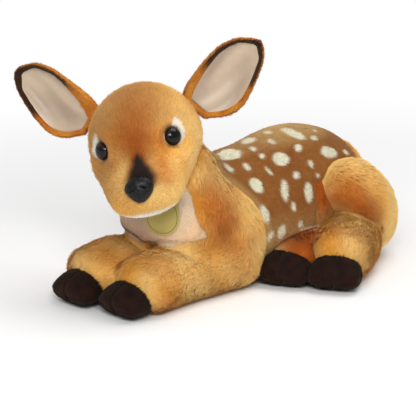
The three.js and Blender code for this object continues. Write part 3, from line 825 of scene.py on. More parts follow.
def roundHaunch(form, hand, inset=0.0):
    points, tris = form
    points = points.copy()
    edge = np.interp(points[:, 2], haunch["heights"], haunch["edge"])
    behind = np.clip((points[:, 1] - edge - inset) / haunch["round"], 0, 1)
    out = points[:, 0] * hand - haunch["inside"]
    rounded = np.where(out > 0, out * np.sqrt(1 - (1 - behind) ** 2), out)
    points[:, 0] = hand * (haunch["inside"] + rounded)
    return points, tris


hoofForms = {name: moved(stuffedForm(hoof, hoofRows, -0.4), at) for name, at in hoofAt.items()}
limbs = {
    "left_hind_leg": [
        roundHaunch(moved(stuffedForm(thigh, thighRows, limbGrow, rings=80), thighAt), 1),
        moved(stuffedForm(shank, shankRows, limbGrow), shankAt),
    ],
    "right_hind_leg": [
        roundHaunch(moved(stuffedForm(farThigh, thighRows, limbGrow, rings=80), farThighAt), -1),
        moved(stuffedForm(farShank, farShankRows, limbGrow), farShankAt),
    ],
}
limbForms = {name: fuse(forms, 2.0, 8) for name, forms in limbs.items()}
print("forms fused:", len(torsoForm[0]), "points in the trunk")

limbTrees = [treeOf(form) for form in limbForms.values()]
hoofTrees = {name: treeOf(form) for name, form in hoofForms.items()}
frontHoofTrees = [hoofTrees["left_front_hoof"], hoofTrees["right_front_hoof"]]
bodyTree = treeOf(bodyForm)
farShankTree = treeOf(fuse([limbs["right_hind_leg"][1], hoofForms["right_hind_hoof"]], 2.4, 2))

# Panels of the trunk: seams, in the order forward of the elbow seam, belly, flanks, rump
seams = {
    "heights": [0, 43, 68, 82, 102, 114, 150],
    "forward": [-40, -44, -51, -60, -79, -90, -97],
    "rump": 104,
    "flank": 22,
    "flankTop": 84,
    "belly": 9,
    "groove": 1.7,
    "grooveWidth": 4.0,
    "plump": 0.9,
    "draw": 1.1,
}
bib = {
    "side": -5,
    "forward": 110,
    "turn": 29,
    "top": 112,
    "topHalf": {"near": 18, "far": 48},
    "half": {"near": 63, "far": 55},
    "depth": {"near": 10, "far": 1.0},
    "low": 51.5,
    "lowSlope": 0.2,
}
bibInverse = np.linalg.inv(placeAt(bib["side"], -bib["forward"], 0, yaw=bib["turn"]))


def bibPlaces(points):
    # below zero within the bib, which narrows towards its top
    x, y, z = movePoints(points, bibInverse).T
    near, far = (
        bib["half"][side] + (bib["topHalf"][side] - bib["half"][side]) * z / bib["top"]
        for side in ("near", "far")
    )
    half = np.where(x > 0, near, far)
    behind = y + np.where(x > 0, bib["depth"]["near"], bib["depth"]["far"])
    under = bib["low"] + bib["lowSlope"] * x - z
    return np.maximum.reduce([np.abs(x) - half, z - bib["top"], behind, under])


def frontSeam(points):
    return points[:, 1] - np.interp(points[:, 2], seams["heights"], seams["forward"])


def panelOf(points):
    x, y, z = points.T
    names = np.full(len(points), "front_cover", dtype=object)
    behind = frontSeam(points) > 0
    names[behind] = "back_panel"
    low = (z < seams["flankTop"]) & (y > seams["flank"])
    names[low & (x > 0)] = "left_flank_panel"
    names[low & (x <= 0)] = "right_flank_panel"
    names[y > seams["rump"]] = "rump_cover"
    names[(z < seams["belly"]) & (y < seams["flank"])] = "belly_panel"
    names[(bibPlaces(points) < 0) & (z >= seams["belly"])] = "chest_bib"
    return names


def drawOntoSeams(points):
    # the points beside each seam move onto it, so that the panels meet in clean lines
    x, y, z = points.T
    none = np.zeros(len(points))
    for value, reach in (
        (np.c_[none, frontSeam(points), none], (z > seams["belly"]) & (y > -110)),
        (np.c_[none, y - seams["rump"], none], y > 0),
        (np.c_[none, y - seams["flank"], none], z < seams["flankTop"]),
        (np.c_[none, none, z - seams["flankTop"]], y > seams["flank"]),
        (np.c_[none, none, z - seams["belly"]], y < seams["flank"]),
    ):
        near = reach & (np.abs(value).max(axis=1) < seams["draw"])
        points[near] -= value[near]


def reachTo(places, points):
    # how far each point lies from the nearest of the places
    tree = KDTree(len(places))
    for i, place in enumerate(places.tolist()):
        tree.insert(place, i)
    tree.balance()
    return np.array([tree.find(point)[2] for point in points.tolist()])


def panelBorder(tris, number, count):
    # the points where faces of different numbers meet
    low, high = np.full(count, 99), np.full(count, -1)
    for k in range(3):
        np.minimum.at(low, tris[:, k], number)
        np.maximum.at(high, tris[:, k], number)
    return (high > low) & (high >= 0)


def buildTorso():
    points, tris = bodyForm
    legTrees = {side: treeOf(form) for side, form in forelegOuter.items()}
    trunkTree = treeOf(torsoForm)
    toLeg = np.minimum(*[depthIn(points, tree, 60.0)[0] for tree in legTrees.values()])
    toTrunk, _, _ = depthIn(points, trunkTree, 60.0)
    # the pile runs on from shoulder to foreleg, so the crease between them is filled out
    crease = 1 - softStep(np.maximum(toLeg, toTrunk), 2, 13)
    crease *= softStep(np.abs(points[:, 0] + 4) + 0.25 * (points[:, 1] + 110), 22, 34)
    points = keepClear(relax(points, tris, 60, crease), farShankTree, 0.6)
    points[:, 2] = np.maximum(points[:, 2], 0.0)
    for _ in range(2):
        drawOntoSeams(points)
    # open to the head, and where the hooves sit on the legs
    inHead = np.linalg.norm(points - skullCentre, axis=1) < neck["open"]
    inHoof = np.zeros(len(points), bool)
    for tree in frontHoofTrees:
        inHoof |= depthIn(points, tree, 30.0)[0] < -3.0
    tris = tris[~inHead[tris].any(axis=1) & ~inHoof[tris].all(axis=1)]
    middle = points[tris].mean(axis=1)
    names = panelOf(middle)
    trunkDepth, _, _ = depthIn(middle, trunkTree, 60.0)
    for side, tree in legTrees.items():
        legDepth, _, _ = depthIn(middle, tree, 60.0)
        names[(legDepth < trunkDepth) & (legDepth < 9)] = side + "_foreleg_cover"
    order = {name: i for i, name in enumerate(sorted(set(names)))}
    number = np.array([order[name] for name in names])
    number[np.isin(names, ["left_foreleg_cover", "right_foreleg_cover"])] = order["front_cover"]
    border = panelBorder(tris, number, len(points))
    toSeam = reachTo(points[border], points)
    groove = seams["groove"] * np.exp(-((toSeam / seams["grooveWidth"]) ** 2))
    plump = seams["plump"] * softStep(toSeam, 3, 24)
    points = points + normalsOf(points, tris) * (plump - groove)[:, None]
    points[:, 2] = np.maximum(points[:, 2], 0.0)
    return points, tris, names, toSeam


torsoPoints, torsoTris, panelNames, toSeam = buildTorso()
torsoNormals = normalsOf(torsoPoints, torsoTris)
torsoTree = treeOf((torsoPoints, torsoTris))
neckWay = np.array([0.0963, 0.7412, -0.6643])
neckBlend = {
    "from": "trunk",
    "to": "head",
    "start": tuple((skullCentre + neckWay * neck["flex"][0]) * mm),
    "end": tuple((skullCentre + neckWay * neck["flex"][1]) * mm),
}

# Cream spots on the back: place on the skin, width and height as seen from the front left, and tilt
spotAcross = np.array([0.7314, 0.6820, 0.0])
spotUp = np.array([-0.188, 0.2016, 0.9613])
spots = [
    ((13.4, 30.3, 122.3), 25, 7.5, -23),
    ((24.9, 46.0, 117.5), 7, 5, -10),
    ((28.6, 18.6, 113.6), 7, 8, -40),
    ((31.4, -8.8, 108.6), 17, 13, -12),
    ((38.6, 51.9, 105.2), 18, 11, -10),
    ((36.2, 80.2, 99.3), 7, 4, -35),
    ((43.0, 86.0, 92.0), 5, 3, -10),
    ((14.0, -1.7, 120.6), 8, 4, -25),
    ((-2.0, 11.0, 124.0), 8, 3, -5),
    ((-2.0, -16.0, 121.0), 15, 6, 16),
    ((12.0, -25.5, 117.6), 7, 4, -15),
    ((22.3, -25.0, 112.9), 6, 5, -30),
    ((26.5, -50.3, 108.2), 9, 5, -50),
    ((34.3, -28.7, 101.6), 10, 3, -45),
    ((41.5, 22.4, 99.7), 8, 4, -60),
    ((43.4, 0.2, 93.8), 7, 7, -30),
    ((46.8, 26.5, 89.2), 4, 4, 0),
    ((39.3, -50.9, 93.6), 17, 11, -48),
    ((45.6, -19.0, 83.6), 22, 7, -85),
    ((50.2, 9.7, 76.8), 21, 8, -88),
    ((49.9, -11.1, 67.5), 9, 4.5, -80),
    ((47.2, -48.5, 68.1), 18, 8, -70),
    ((50.6, -1.6, 48.2), 7, 5, 70),
    ((48.7, -26.2, 46.5), 14, 7, 75),
    ((47.5, -40.2, 44.5), 11, 4, 65),
    ((6.9, -51.8, 116.3), 24, 11, 6),
    ((22.8, -70.4, 110.5), 13, 4.5, -40),
    ((50.4, 9.0, 42.2), 14, 3.0, 12),
    ((10.0, 62.0, 117.0), 8, 5, 20),
    ((8.0, 92.0, 103.0), 11, 7, -15),
]


def spotMask(points):
    mask = np.zeros(len(points))
    unevenness = wander(points, 9, 71) * 0.08
    for hand in (1, -1):
        flip = np.array([hand, 1, 1])
        for place, wide, tall, tilt in spots:
            # the spots on the ridge of the back aren't mirrored
            if hand < 0 and place[0] < 16:
                continue
            away = points - np.array(place) * flip
            across, up = away @ (spotAcross * flip), away @ spotUp
            c, s = math.cos(math.radians(tilt)), math.sin(math.radians(tilt))
            alongSpot, overSpot = across * c + up * s, up * c - across * s
            ring = np.hypot(alongSpot / (wide * 0.46), overSpot / (tall * 0.46)) + unevenness
            edge = 1.6 / min(wide, tall)
            near = np.linalg.norm(away, axis=1) < max(wide, tall) * 0.7 + 6
            mask = np.maximum(mask, near * (1 - softStep(ring, 1 - edge, 1 + edge)))
    return mask


def goldTint(points, blobs, seed=5):
    tint = np.tile(colours["gold"], (len(points), 1))
    tint = blended(tint, colours["paleGold"], 0.45 + 0.4 * wander(points, 46, seed))
    tint = blended(tint, colours["rust"], 0.16 * softStep(wander(points, 30, seed + 1), 0.1, 0.9))
    return blobShade(points, tint, blobs)


shoulderBlobs = [
    ((41, -107, 92), 20, 0.75, "rust"),
    ((45, -101, 72), 21, 0.8, "rust"),
    ((46, -98, 60), 12, 0.5, "deepRust"),
    ((39, -108, 108), 12, 0.55, "rust"),
    ((46, -84, 46), 13, 0.5, "rust"),
    ((-41, -107, 92), 20, 0.75, "rust"),
    ((-45, -101, 72), 21, 0.8, "rust"),
    ((44, -62, 76), 14, 0.5, "paleGold"),
    # pale gold on the top of the neck: partly its own tone, partly painted light
    ((24, -84, 122), 24, 1.0, "paleGold"),
]
goldPile = {
    "length": 5.5,
    "width": 0.66,
    "perMm2": 2.0,
    "lean": 0.68,
    "tuft": 15,
    "sway": 0.2,
    "vary": 0.05,
}
flankPile = {"length": 2.4, "width": 0.5, "perMm2": 2.0, "lean": 0.66, "tuft": 5, "sway": 0.5}
backPile = dict(flankPile, length=2.2, sway=0.25, vary=0.08)
bibPile = dict(flankPile, length=1.5, width=0.45, perMm2=2.4, lean=0.6, tuft=6, sway=0.3, vary=0.03)
bellyPile = {"length": 1.5, "width": 0.5, "perMm2": 1.2, "lean": 0.8, "tuft": 6}
# each panel's pile, finish and seed
torsoPanels = {
    "front_cover": (goldPile, "gold_pile", 11),
    "rump_cover": (goldPile, "gold_pile", 12),
    "back_panel": (backPile, "spotted_pile", 13),
    "left_flank_panel": (flankPile, "rust_pile", 14),
    "right_flank_panel": (flankPile, "rust_pile", 15),
    "chest_bib": (bibPile, "cream_pile", 16),
    "belly_panel": (bellyPile, "gold_pile", 17),
    "left_foreleg_cover": (goldPile, "gold_pile", 18),
    "right_foreleg_cover": (goldPile, "gold_pile", 19),
}


def torsoTint(name, points):
    z = points[:, 2]
    if name == "back_panel":
        fromSeam = softStep(np.abs(frontSeam(points)), 3, 11)
        tint = np.tile(colours["brown"], (len(points), 1))
        tint = blended(tint, colours["deepBrown"], 0.3 + 0.35 * wander(points, 40, 21))
        tint = blended(tint, colours["tan"], 0.85 * softStep(z, 112, 126))
        tint = blended(tint, colours["tan"], 0.55 * softStep(-z, -72, -40))
        tint = blended(tint, colours["tan"], 0.6 * (1 - fromSeam))
        return blended(tint, colours["cream"], spotMask(points))
    if name in ("left_flank_panel", "right_flank_panel"):
        tint = np.tile(colours["rust"], (len(points), 1))
        tint = blended(tint, colours["deepRust"], 0.5 * softStep(z, 60, 84))
        tint = blended(tint, colours["tan"], 0.6 * softStep(-z, -66, -46))
        return blended(tint, colours["umber"], 0.4 * softStep(wander(points, 6, 31), 0.3, 0.9))
    if name == "chest_bib":
        aside = movePoints(points, bibInverse)[:, 0]
        tint = np.tile(colours["bib"], (len(points), 1))
        tint = blended(tint, colours["white"], 0.35 + 0.2 * wander(points, 40, 33))
        # rosier and darker towards the far side: partly a pinker tone, partly painted shade
        return blended(tint, colours["rosy"], 0.75 * softStep(-aside, -4, 24))
    return goldTint(points, shoulderBlobs)


torsoBald = baldNear(torsoPoints, limbTrees, 1.5)
torsoBald *= baldNear(torsoPoints, [farShankTree, *frontHoofTrees], 0.7)
legWay = forelegAt["left"][:3, :3] @ [0, -1, -0.12]
onLeg = np.zeros(len(torsoPoints))
for form in forelegOuter.values():
    toLeg, _, _ = depthIn(torsoPoints, treeOf(form), 60.0)
    onLeg = np.maximum(onLeg, 1 - softStep(toLeg, 0, 22))
onLeg *= softStep(-torsoPoints[:, 1], 52, 92)
torsoFlow = np.tile([0.0, 0.62, -0.78], (len(torsoPoints), 1))
torsoFlow = blended(torsoFlow, [0.0, -0.3, -0.95], softStep(-torsoPoints[:, 1], 50, 96))
torsoFlow = blended(torsoFlow, legWay, onLeg)
for name, (pile, slotName, seed) in torsoPanels.items():
    used, tris = subset(torsoPoints, torsoTris, panelNames == name)
    points = torsoPoints[used]
    length = torsoBald[used] * softStep(points[:, 2], 0.3, 5)
    length *= 0.55 + 0.45 * softStep(toSeam[used], 0.5, 4)
    tint = torsoTint(name, points)
    surface = surfaceOf(points, tris, tint, torsoFlow[used], length, torsoNormals[used])
    bend = neckBlend if name in ("front_cover", "chest_bib", "back_panel") else None
    dress(name + "_skin", surface, dict(pile, seed=seed), slotName, [name], blend=bend)
print("trunk dressed")


# Filling inside the covers
filling = {"voxel": 3.0, "rounds": 4, "above": 3.4, "fill": 0.9}


def fillForm(name, node, forms, slotName="fibre_filling", body="trunk"):
    points, tris = fuse(forms, filling["voxel"], filling["rounds"])
    points[:, 2] = np.maximum(points[:, 2], filling["above"])
    obj = triObject(name, points, tris, finishes[slotName])
    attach(obj, body)
    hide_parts(node)


pouch = {"reach": 84, "girth": 62, "at": (0, 27, 4)}
pouchRows = [
    [0, 0, -0.1, 0.2, 0.34],
    [0.3, 0, -0.1, 0.34, 0.48],
    [0.7, 0, -0.1, 0.34, 0.48],
    [1, 0, -0.1, 0.2, 0.34],
]
pouchForm = moved(stuffedForm(pouch, pouchRows, -1.0), placeAt(*pouch["at"]))
fillForm("body_filling_fibre", "body_filling", torsoForms(-5.0))
fillForm("pellet_pouch_cloth", "pellet_pouch", [pouchForm], "pouch_cloth")


# Hind legs
haunchBlobs = [
    ((76, 34, 76), 20, 0.75, "rust"),
    ((86, 40, 64), 17, 0.9, "rust"),
    ((92, 48, 58), 14, 0.8, "deepRust"),
    ((96, 60, 48), 13, 0.75, "deepRust"),
    ((62, 34, 70), 13, 0.6, "rust"),
    # pale gold under the haunch's bulge: partly its own tone, partly painted light
    ((78, 90, 22), 22, 0.85, "paleGold"),
]
shankBlobs = [
    ((104, 12, 22), 11, 0.6, "rust"),
    ((92, 30, 26), 14, 0.3, "rust"),
    ((96, 22, 40), 18, 0.2, "rust"),
    # pale gold over the shank's top and back: partly its own tone, partly painted light where the
    # crease shades it
    ((90, 44, 54), 20, 0.8, "paleGold"),
    ((110, 38, 30), 18, 0.6, "paleGold"),
    ((119, 22, 22), 14, 0.8, "paleGold"),
    ((100, 52, 33), 16, 0.7, "paleGold"),
]
farShankBlobs = [((46, -36, 32), 11, 0.9, "paleGold")]


def nearLegTint(points):
    tint = goldTint(points, haunchBlobs, 60)
    # painted light: paler over the top of the haunch and towards its back, where the light falls
    tint = blended(tint, colours["paleGold"], 0.8 * softStep(points[:, 2], 84, 97))
    tint = blended(tint, colours["paleGold"], 0.8 * softStep(points[:, 1], 66, 96))
    # the haunch's airbrush and painted light stop at the crease above the shank
    toThigh, toShank = (depthIn(points, treeOf(part), 60.0)[0] for part in limbs["left_hind_leg"])
    return blended(tint, goldTint(points, shankBlobs, 60), softStep(toThigh - toShank, -1, 5))


def farLegTint(points):
    # rusty where it comes out in front of the near leg
    tint = np.tile(colours["deepRust"], (len(points), 1))
    tint = blended(tint, colours["rust"], 0.8 + 0.3 * wander(points, 24, 51))
    tint = blended(tint, goldTint(points, []), softStep(-points[:, 0], 10, 40))
    return blobShade(points, tint, farShankBlobs)


# hoof, crown of the haunch, way of the shank's pile, colouring, seed and what lies beside
hindLegs = {
    "left_hind_leg": {
        "hoof": hoofTrees["left_hind_hoof"],
        "crown": [34.0, 26.0, 108.0],
        "way": shankAt[:3, :3] @ [0, -1, -0.2],
        "tint": nearLegTint,
        "seed": 40,
        "beside": [farShankTree],
    },
    "right_hind_leg": {
        "hoof": hoofTrees["right_hind_hoof"],
        "crown": [-34.0, 26.0, 108.0],
        "way": [0.6, -0.6, -0.4],
        "tint": farLegTint,
        "seed": 41,
        "beside": [],
    },
}


def hollowShare(points, tris):
    # 1 on open skin, less in a tight crease
    hollow = ((relax(points, tris, 14) - points) * normalsOf(points, tris)).sum(axis=1)
    return 1 - 0.7 * softStep(hollow, 0.12, 0.6)


for name, leg in hindLegs.items():
    points, tris = limbForms[name]
    hidden = np.zeros(len(points), bool)
    for tree in (bodyTree, *leg["beside"]):
        hidden |= depthIn(points, tree, 200.0)[0] < -2.0
    tris = tris[~hidden[tris].all(axis=1)]
    points = keepClear(points, torsoTree, 0.4, bodyTree)
    for tree in leg["beside"]:
        points = keepClear(points, tree, 0.4)
    points[:, 2] = np.maximum(points[:, 2], 0.0)
    inHoof, _, _ = depthIn(points, leg["hoof"], 60.0)
    used, tris = subset(points, tris, ~(inHoof[tris] < -3.0).all(axis=1))
    points = points[used]
    # the pile lies down from the crown of the haunch, then along the shank
    toShank, _, _ = depthIn(points, treeOf(limbs[name][1]), 40.0)
    flow = blended(unitWays(points - leg["crown"]), leg["way"], 1 - softStep(toShank, 1, 14))
    length = baldNear(points, [bodyTree, leg["hoof"], *leg["beside"]], 0.9)
    length = length * softStep(points[:, 2], 0.3, 5) * hollowShare(points, tris)
    if name == "right_hind_leg":
        length = length * (0.5 + 0.5 * softStep(-points[:, 0], 10, 40))
    surface = surfaceOf(points, tris, leg["tint"](points), flow, length)
    dress(name + "_skin", surface, dict(goldPile, seed=leg["seed"]), "gold_pile", [name + "_cover"])
# the forms in each filling: size, rows, growth and place
fillings = {
    "left_foreleg": [(foreleg, forelegRows, -5.0, forelegAt["left"])],
    "right_foreleg": [(foreleg, forelegRows, -5.0, forelegAt["right"])],
    "left_hind_leg": [(thigh, thighRows, -11.0, thighAt), (shank, shankRows, -8.0, shankAt)],
    "right_hind_leg": [
        (farThigh, thighRows, -11.0, farThighAt),
        (farShank, farShankRows, -5.0, farShankAt),
    ],
}
for name, parts in fillings.items():
    forms = [moved(stuffedForm(size, rows, grow), at) for size, rows, grow, at in parts]
    if name in hindLegs:
        hand = 1 if name == "left_hind_leg" else -1
        forms[0] = roundHaunch(forms[0], hand, haunch["fillingInset"])
    fillForm(name + "_fibre", name + "_filling", forms)
print("legs dressed")

# Hooves: a suede toe with a seam down the front and a tuck below it
hoofPile = {
    "length": 1.3,
    "width": 0.42,
    "perMm2": 3.0,
    "lean": 0.55,
    "tuft": 5,
    "sway": 0.6,
    "vary": 0.16,
}


def hoofSkin():
    # the toe in its own frame, with 1 along its seam
    points, tris = stuffedForm(hoof, hoofRows, -0.4, sides=120, rings=90)
    x, y, z = points.T
    front = softStep(-y, 8, 30)
    seam = hoof["seamDepth"] * np.exp(-((x / 1.1) ** 2)) * front * (z > -21)
    points = points - normalsOf(points, tris) * seam[:, None]
    tuck = np.exp(-((x / 3.2) ** 2) - ((z + 15) / 4.5) ** 2) * softStep(-y, 34, 40)
    fold = np.exp(-(((z + 12) / 1.2) ** 2)) * front * softStep(np.abs(x), 2, 6)
    points[:, 1] += hoof["tuckDepth"] * tuck
    points[:, 1] += hoof["foldDepth"] * fold
    used, tris = subset(points, tris, (points[tris][:, :, 1] < -hoof["lip"] + 0.4).all(axis=1))
    return points[used], tris, np.exp(-((x[used] / 1.3) ** 2)) * front[used]


hoofLocal, hoofTris, seamLine = hoofSkin()
for number, (name, at) in enumerate(hoofAt.items()):
    points = movePoints(hoofLocal, at)
    points[:, 2] = np.maximum(points[:, 2], 0.0)
    tint = np.tile(colours["hoof"], (len(points), 1))
    tint = blended(tint, colours["hoofShade"], 0.35 + 0.3 * wander(points, 12, 80 + number))
    tint = blended(tint, colours["hoofSeam"], 0.45 * seamLine)
    length = softStep(points[:, 2], 0.2, 2) * (1 - 0.7 * seamLine)
    surface = surfaceOf(points, hoofTris, tint, at[:3, :3] @ [0, -0.7, -0.7], length)
    dress(name + "_skin", surface, dict(hoofPile, seed=70 + number), "hoof_suede", [name])
print("hooves dressed")

# Tail
tail = {"reach": 46, "girth": 26, "at": (0, 123.5, 80), "pitch": 66, "whiteFrom": 128}
tailRows = [
    [0, 0, -0.14, 0.2, 0.28],
    [0.3, 0, -0.22, 0.26, 0.46],
    [0.7, 0, -0.22, 0.24, 0.5],
    [1, 0, -0.12, 0.12, 0.28],
]
tailPile = {"length": 6, "width": 0.7, "perMm2": 2.4, "lean": 0.78, "seed": 90}
tailAt = placeAt(*tail["at"], yaw=180, pitch=tail["pitch"])
points, tris = fuse([moved(stuffedForm(tail, tailRows, -0.6), tailAt)], 1.4, 5)
inFront = softStep(tail["whiteFrom"] - points[:, 1], 0, 6)
tint = blended(goldTint(points, []), colours["white"], inFront)
length = baldNear(points, [bodyTree], 0.8)
surface = surfaceOf(points, tris, tint, tailAt[:3, :3] @ [0, -1, 0], length)
dress("tail_skin", surface, tailPile, "gold_pile", ["tail"], "tail")

# Head
skull = {"radius": 50, "skin": 0.4, "fillingRadius": 43.0, "narrowing": 0.1}
face = {"reach": 82, "girth": 100}
faceRows = [
    [-0.25, 0, -0.34, 0.34, 0.34],
    [0, 0, -0.46, 0.46, 0.46],
    [0.34, 0, -0.5, 0.32, 0.46],
    [0.61, 0, -0.51, 0.06, 0.39],
    [0.82, 0, -0.5, -0.11, 0.31],
    [1, 0, -0.44, -0.2, 0.2],
]
eye = {
    "radius": 8.0,
    "dome": 5.4,
    "brim": 1.0,
    "out": (32, -38, 8.5),
    "sunk": 0.3,
    "back": 7.6,
    "stem": {"radius": 2, "ridge": 2.4, "length": 10, "ridges": (7.5, 5, 2.5)},
    "lid": {"radius": 7.7, "thin": 0.25, "thicker": 0.3, "out": 1.6},
}
nose = {
    "width": 25,
    "height": 23.5,
    "depth": 9,
    "sunk": 3,
    "forward": 79,
    "drop": 20,
    "tilt": 18,
    "nostril": {"aside": 6.2, "rise": 0.6, "tilt": 28, "depth": 2.2},
    "cleft": 0.5,
}
hands = {"left": 1, "right": -1}


def facing(hand):
    out = Vector((hand * eye["out"][0], eye["out"][1], eye["out"][2])).normalized()
    turn = Vector((0, -1, 0)).rotation_difference(out).to_matrix().to_4x4()
    seat = math.sqrt(skull["radius"] ** 2 - eye["radius"] ** 2) - eye["sunk"]
    return np.array(Matrix.Translation(out * seat) @ turn)


eyeAt = {hand: facing(hand) for hand in hands.values()}
noseAt = placeAt(0, -nose["forward"], -nose["drop"], pitch=-nose["tilt"])


def headForm():
    ball = ballForm(skull["radius"] - skull["skin"])
    points, tris = fuse([ball, stuffedForm(face, faceRows, -skull["skin"])], 1.6, 12)
    # narrower from the cheeks down to the muzzle
    low = softStep(-points[:, 2], 2, 34) * softStep(points[:, 1], -66, -40)
    points[:, 0] *= 1 - skull["narrowing"] * low
    normals = normalsOf(points, tris)
    # the skin dips behind the eyes and the nose
    for at in eyeAt.values():
        seen = movePoints(points, np.linalg.inv(at))
        out, ring = -seen[:, 1], np.hypot(seen[:, 0], seen[:, 2])
        dip = 0.9 + 0.62 * np.maximum(ring - 8.6, 0)
        seen[:, 1] = -np.where((ring < 22) & (out > -15), np.minimum(out, dip), out)
        points = movePoints(seen, at)
    noseAway = np.linalg.norm(points - noseAt[:3, 3], axis=1)
    points = points - normals * (0.8 * np.exp(-((noseAway / 13) ** 4)))[:, None]
    # open towards the neck
    neckHole = np.array([[0.0, -neck["back"], neck["rise"]]])
    toNeck = unitWays(movePoints(neckHole, np.linalg.inv(headMatrix)))[0]
    ahead = points @ toNeck
    aside = np.linalg.norm(points - ahead[:, None] * toNeck, axis=1)
    inNeck = (ahead > 0) & (aside < neck["hole"])
    used, tris = subset(points, tris, ~inNeck[tris].all(axis=1))
    return points[used], tris


headLocal, headTris = headForm()
headPoints = movePoints(headLocal, headMatrix)
x, y, z = headLocal.T
headBlobs = [
    # fawn over the crown and down the far side of the head: partly its own tone, partly painted
    # shade
    ((0, -16, 44), 38, 1.0, "fawn"),
    ((-34, -26, 20), 26, 0.7, "fawn"),
    ((6, -40, 30), 22, 0.8, "russet"),
    ((-6, -48, 16), 19, 0.85, "russet"),
    ((3, -52, 12), 14, 0.85, "deepRust"),
    ((3, -62, 6), 10, 0.8, "deepRust"),
    ((24, -52, 8), 9, 0.6, "rust"),
    ((22, -64, -7), 9, 0.7, "rust"),
    ((20, -70, -18), 9, 0.5, "rust"),
    ((-22, -60, 0), 9, 0.6, "russet"),
    ((-28, -56, -3), 8, 0.6, "russet"),
    ((-18, -72, -20), 10, 0.5, "tan"),
    # painted shade on the far cheek and the far side of the face
    ((-30, -52, -20), 21, 0.95, "fawn"),
    ((-40, -30, -4), 20, 0.85, "fawn"),
    ((0, -74, -42), 14, 0.4, "tan"),
    # painted light on the near cheek
    ((39, -38, -14), 15, 0.85, "paleGold"),
    ((30, -58, -10), 7, 0.5, "paleGold"),
    ((40, -10, 16), 13, 0.4, "paleGold"),
]
headTint = goldTint(headLocal, headBlobs, 101)
underside = softStep(-z, 39.5, 44) * softStep(-y, 8, 22)
headTint = blended(headTint, colours["white"], underside)
# the dark wedge above the nose
wedge = 11.5 * np.clip((7 - z) / 20, 0, 1) ** 0.9 - np.abs(x - 2.2) - 10 * softStep(z, 2, 17)
around = softStep(wedge, -7.0, 0) * (y < -48) * softStep(z, -24, -14)
headTint = blended(headTint, colours["deepRust"], 0.6 * around)
within = softStep(wedge, -3.4, 3.0) * (y < -50) * softStep(z, -24, -17)
headTint = blended(headTint, colours["nearBlack"], within)
# cream crescents round the outer corner of each eye, as a reach from the eye's middle by angle
crescent = {
    "angles": [-90, -50, 0, 38, 58, 72, 84, 140, 162, 185, 205, 270],
    "reach": [8.2, 9.6, 12.0, 14.6, 15.6, 12.0, 8.5, 8.3, 9.8, 10.2, 8.5, 8.2],
}
for hand, at in eyeAt.items():
    seen = movePoints(headLocal, np.linalg.inv(at))
    ring = np.hypot(seen[:, 0], seen[:, 2])
    angle = np.degrees(np.arctan2(seen[:, 2], hand * seen[:, 0]))
    angle = np.where(angle < -90, angle + 360, angle)
    reach = np.interp(angle, crescent["angles"], crescent["reach"])
    lash = 7.9 + 0.9 * softStep(np.sin(np.radians(angle)), 0.2, 0.9)
    front = seen[:, 1] < 14
    for colour, strength, share in (
        ("white", 0.88, 1 - softStep(ring - reach, -1.4, 1.0)),
        ("umber", 0.55, (1 - softStep(ring, 9.5, 13.5)) * softStep(reach, 9.0, 8.2)),
        ("nearBlack", 0.92, 1 - softStep(ring - lash, -0.4, 0.7)),
    ):
        headTint = blended(headTint, colours[colour], strength * share * front)
# short pile on the muzzle, and shorter still round the eyes and the nose
toEye = np.minimum(*[np.linalg.norm(headLocal - at[:3, 3], axis=1) for at in eyeAt.values()])
toNose = np.linalg.norm((headLocal - noseAt[:3, 3]) / [1.2, 1, 1], axis=1)
headLength = 1 - 0.45 * softStep(-y, 34, 64)
headLength *= softStep(toEye, 8.6, 17) * 0.68 + 0.32
headLength *= softStep(toNose, 9.5, 15) * 0.75 + 0.25
headLength *= toEye > 7.8
headLength = headLength * baldNear(headPoints, [bodyTree], 0.6)
# the pile lies back from the nose
fromNose = headLocal - np.array([0, -84, -14])
headFlow = (fromNose * [0.5, 1, 1] + np.array([0, 10, 0])) @ headMatrix[:3, :3].T
headPile = {
    "length": 4.8,
    "width": 0.55,
    "perMm2": 2.6,
    "lean": 0.66,
    "seed": 100,
    "tuft": 8,
    "sway": 0.3,
}
surface = surfaceOf(headPoints, headTris, headTint, headFlow, headLength)
dress("head_skin", surface, headPile, "gold_pile", ["head_cover"], "head")
headFilling = [ballForm(skull["fillingRadius"]), stuffedForm(face, faceRows, -10.0)]
headFilling = [moved(form, headMatrix) for form in headFilling]
fillForm("head_fibre", "head_filling", headFilling, body="head")
print("head dressed")


# Eyes and nose
def latheForward(profile, sides=64):
    # profile: (radius, out) pairs from the back of the axis to the front of it
    angle = np.arange(sides) * 2 * np.pi / sides
    points = [
        np.stack([radius * np.cos(angle), np.full(sides, -out), radius * np.sin(angle)], axis=1)
        for radius, out in profile
    ]
    side, end = np.arange(sides), (len(profile) - 1) * sides
    tris = [
        bandTris(len(profile), sides)[:, ::-1],
        np.c_[np.zeros(sides - 2, int), side[2:], side[1:-1]],
        np.c_[np.full(sides - 2, end), end + side[1:-1], end + side[2:]],
    ]
    return np.concatenate(points), np.concatenate(tris)


def eyeForm():
    # a dome with a brim, on a ridged stem
    stem, radius, brim = eye["stem"], eye["radius"], eye["brim"]
    axis = 0.05
    profile = [(axis, -stem["length"]), (stem["radius"], -stem["length"])]
    for back in stem["ridges"]:
        profile += [(stem["ridge"], -back), (stem["radius"], 0.4 - back)]
    profile += [(stem["radius"], 0), (eye["back"], 0), (radius, 0.4), (radius, brim)]
    for step in range(1, 12):
        angle = math.pi / 2 * step / 12
        profile.append((radius * math.cos(angle), brim + eye["dome"] * math.sin(angle)))
    profile.append((axis, brim + eye["dome"]))
    return latheForward(profile)


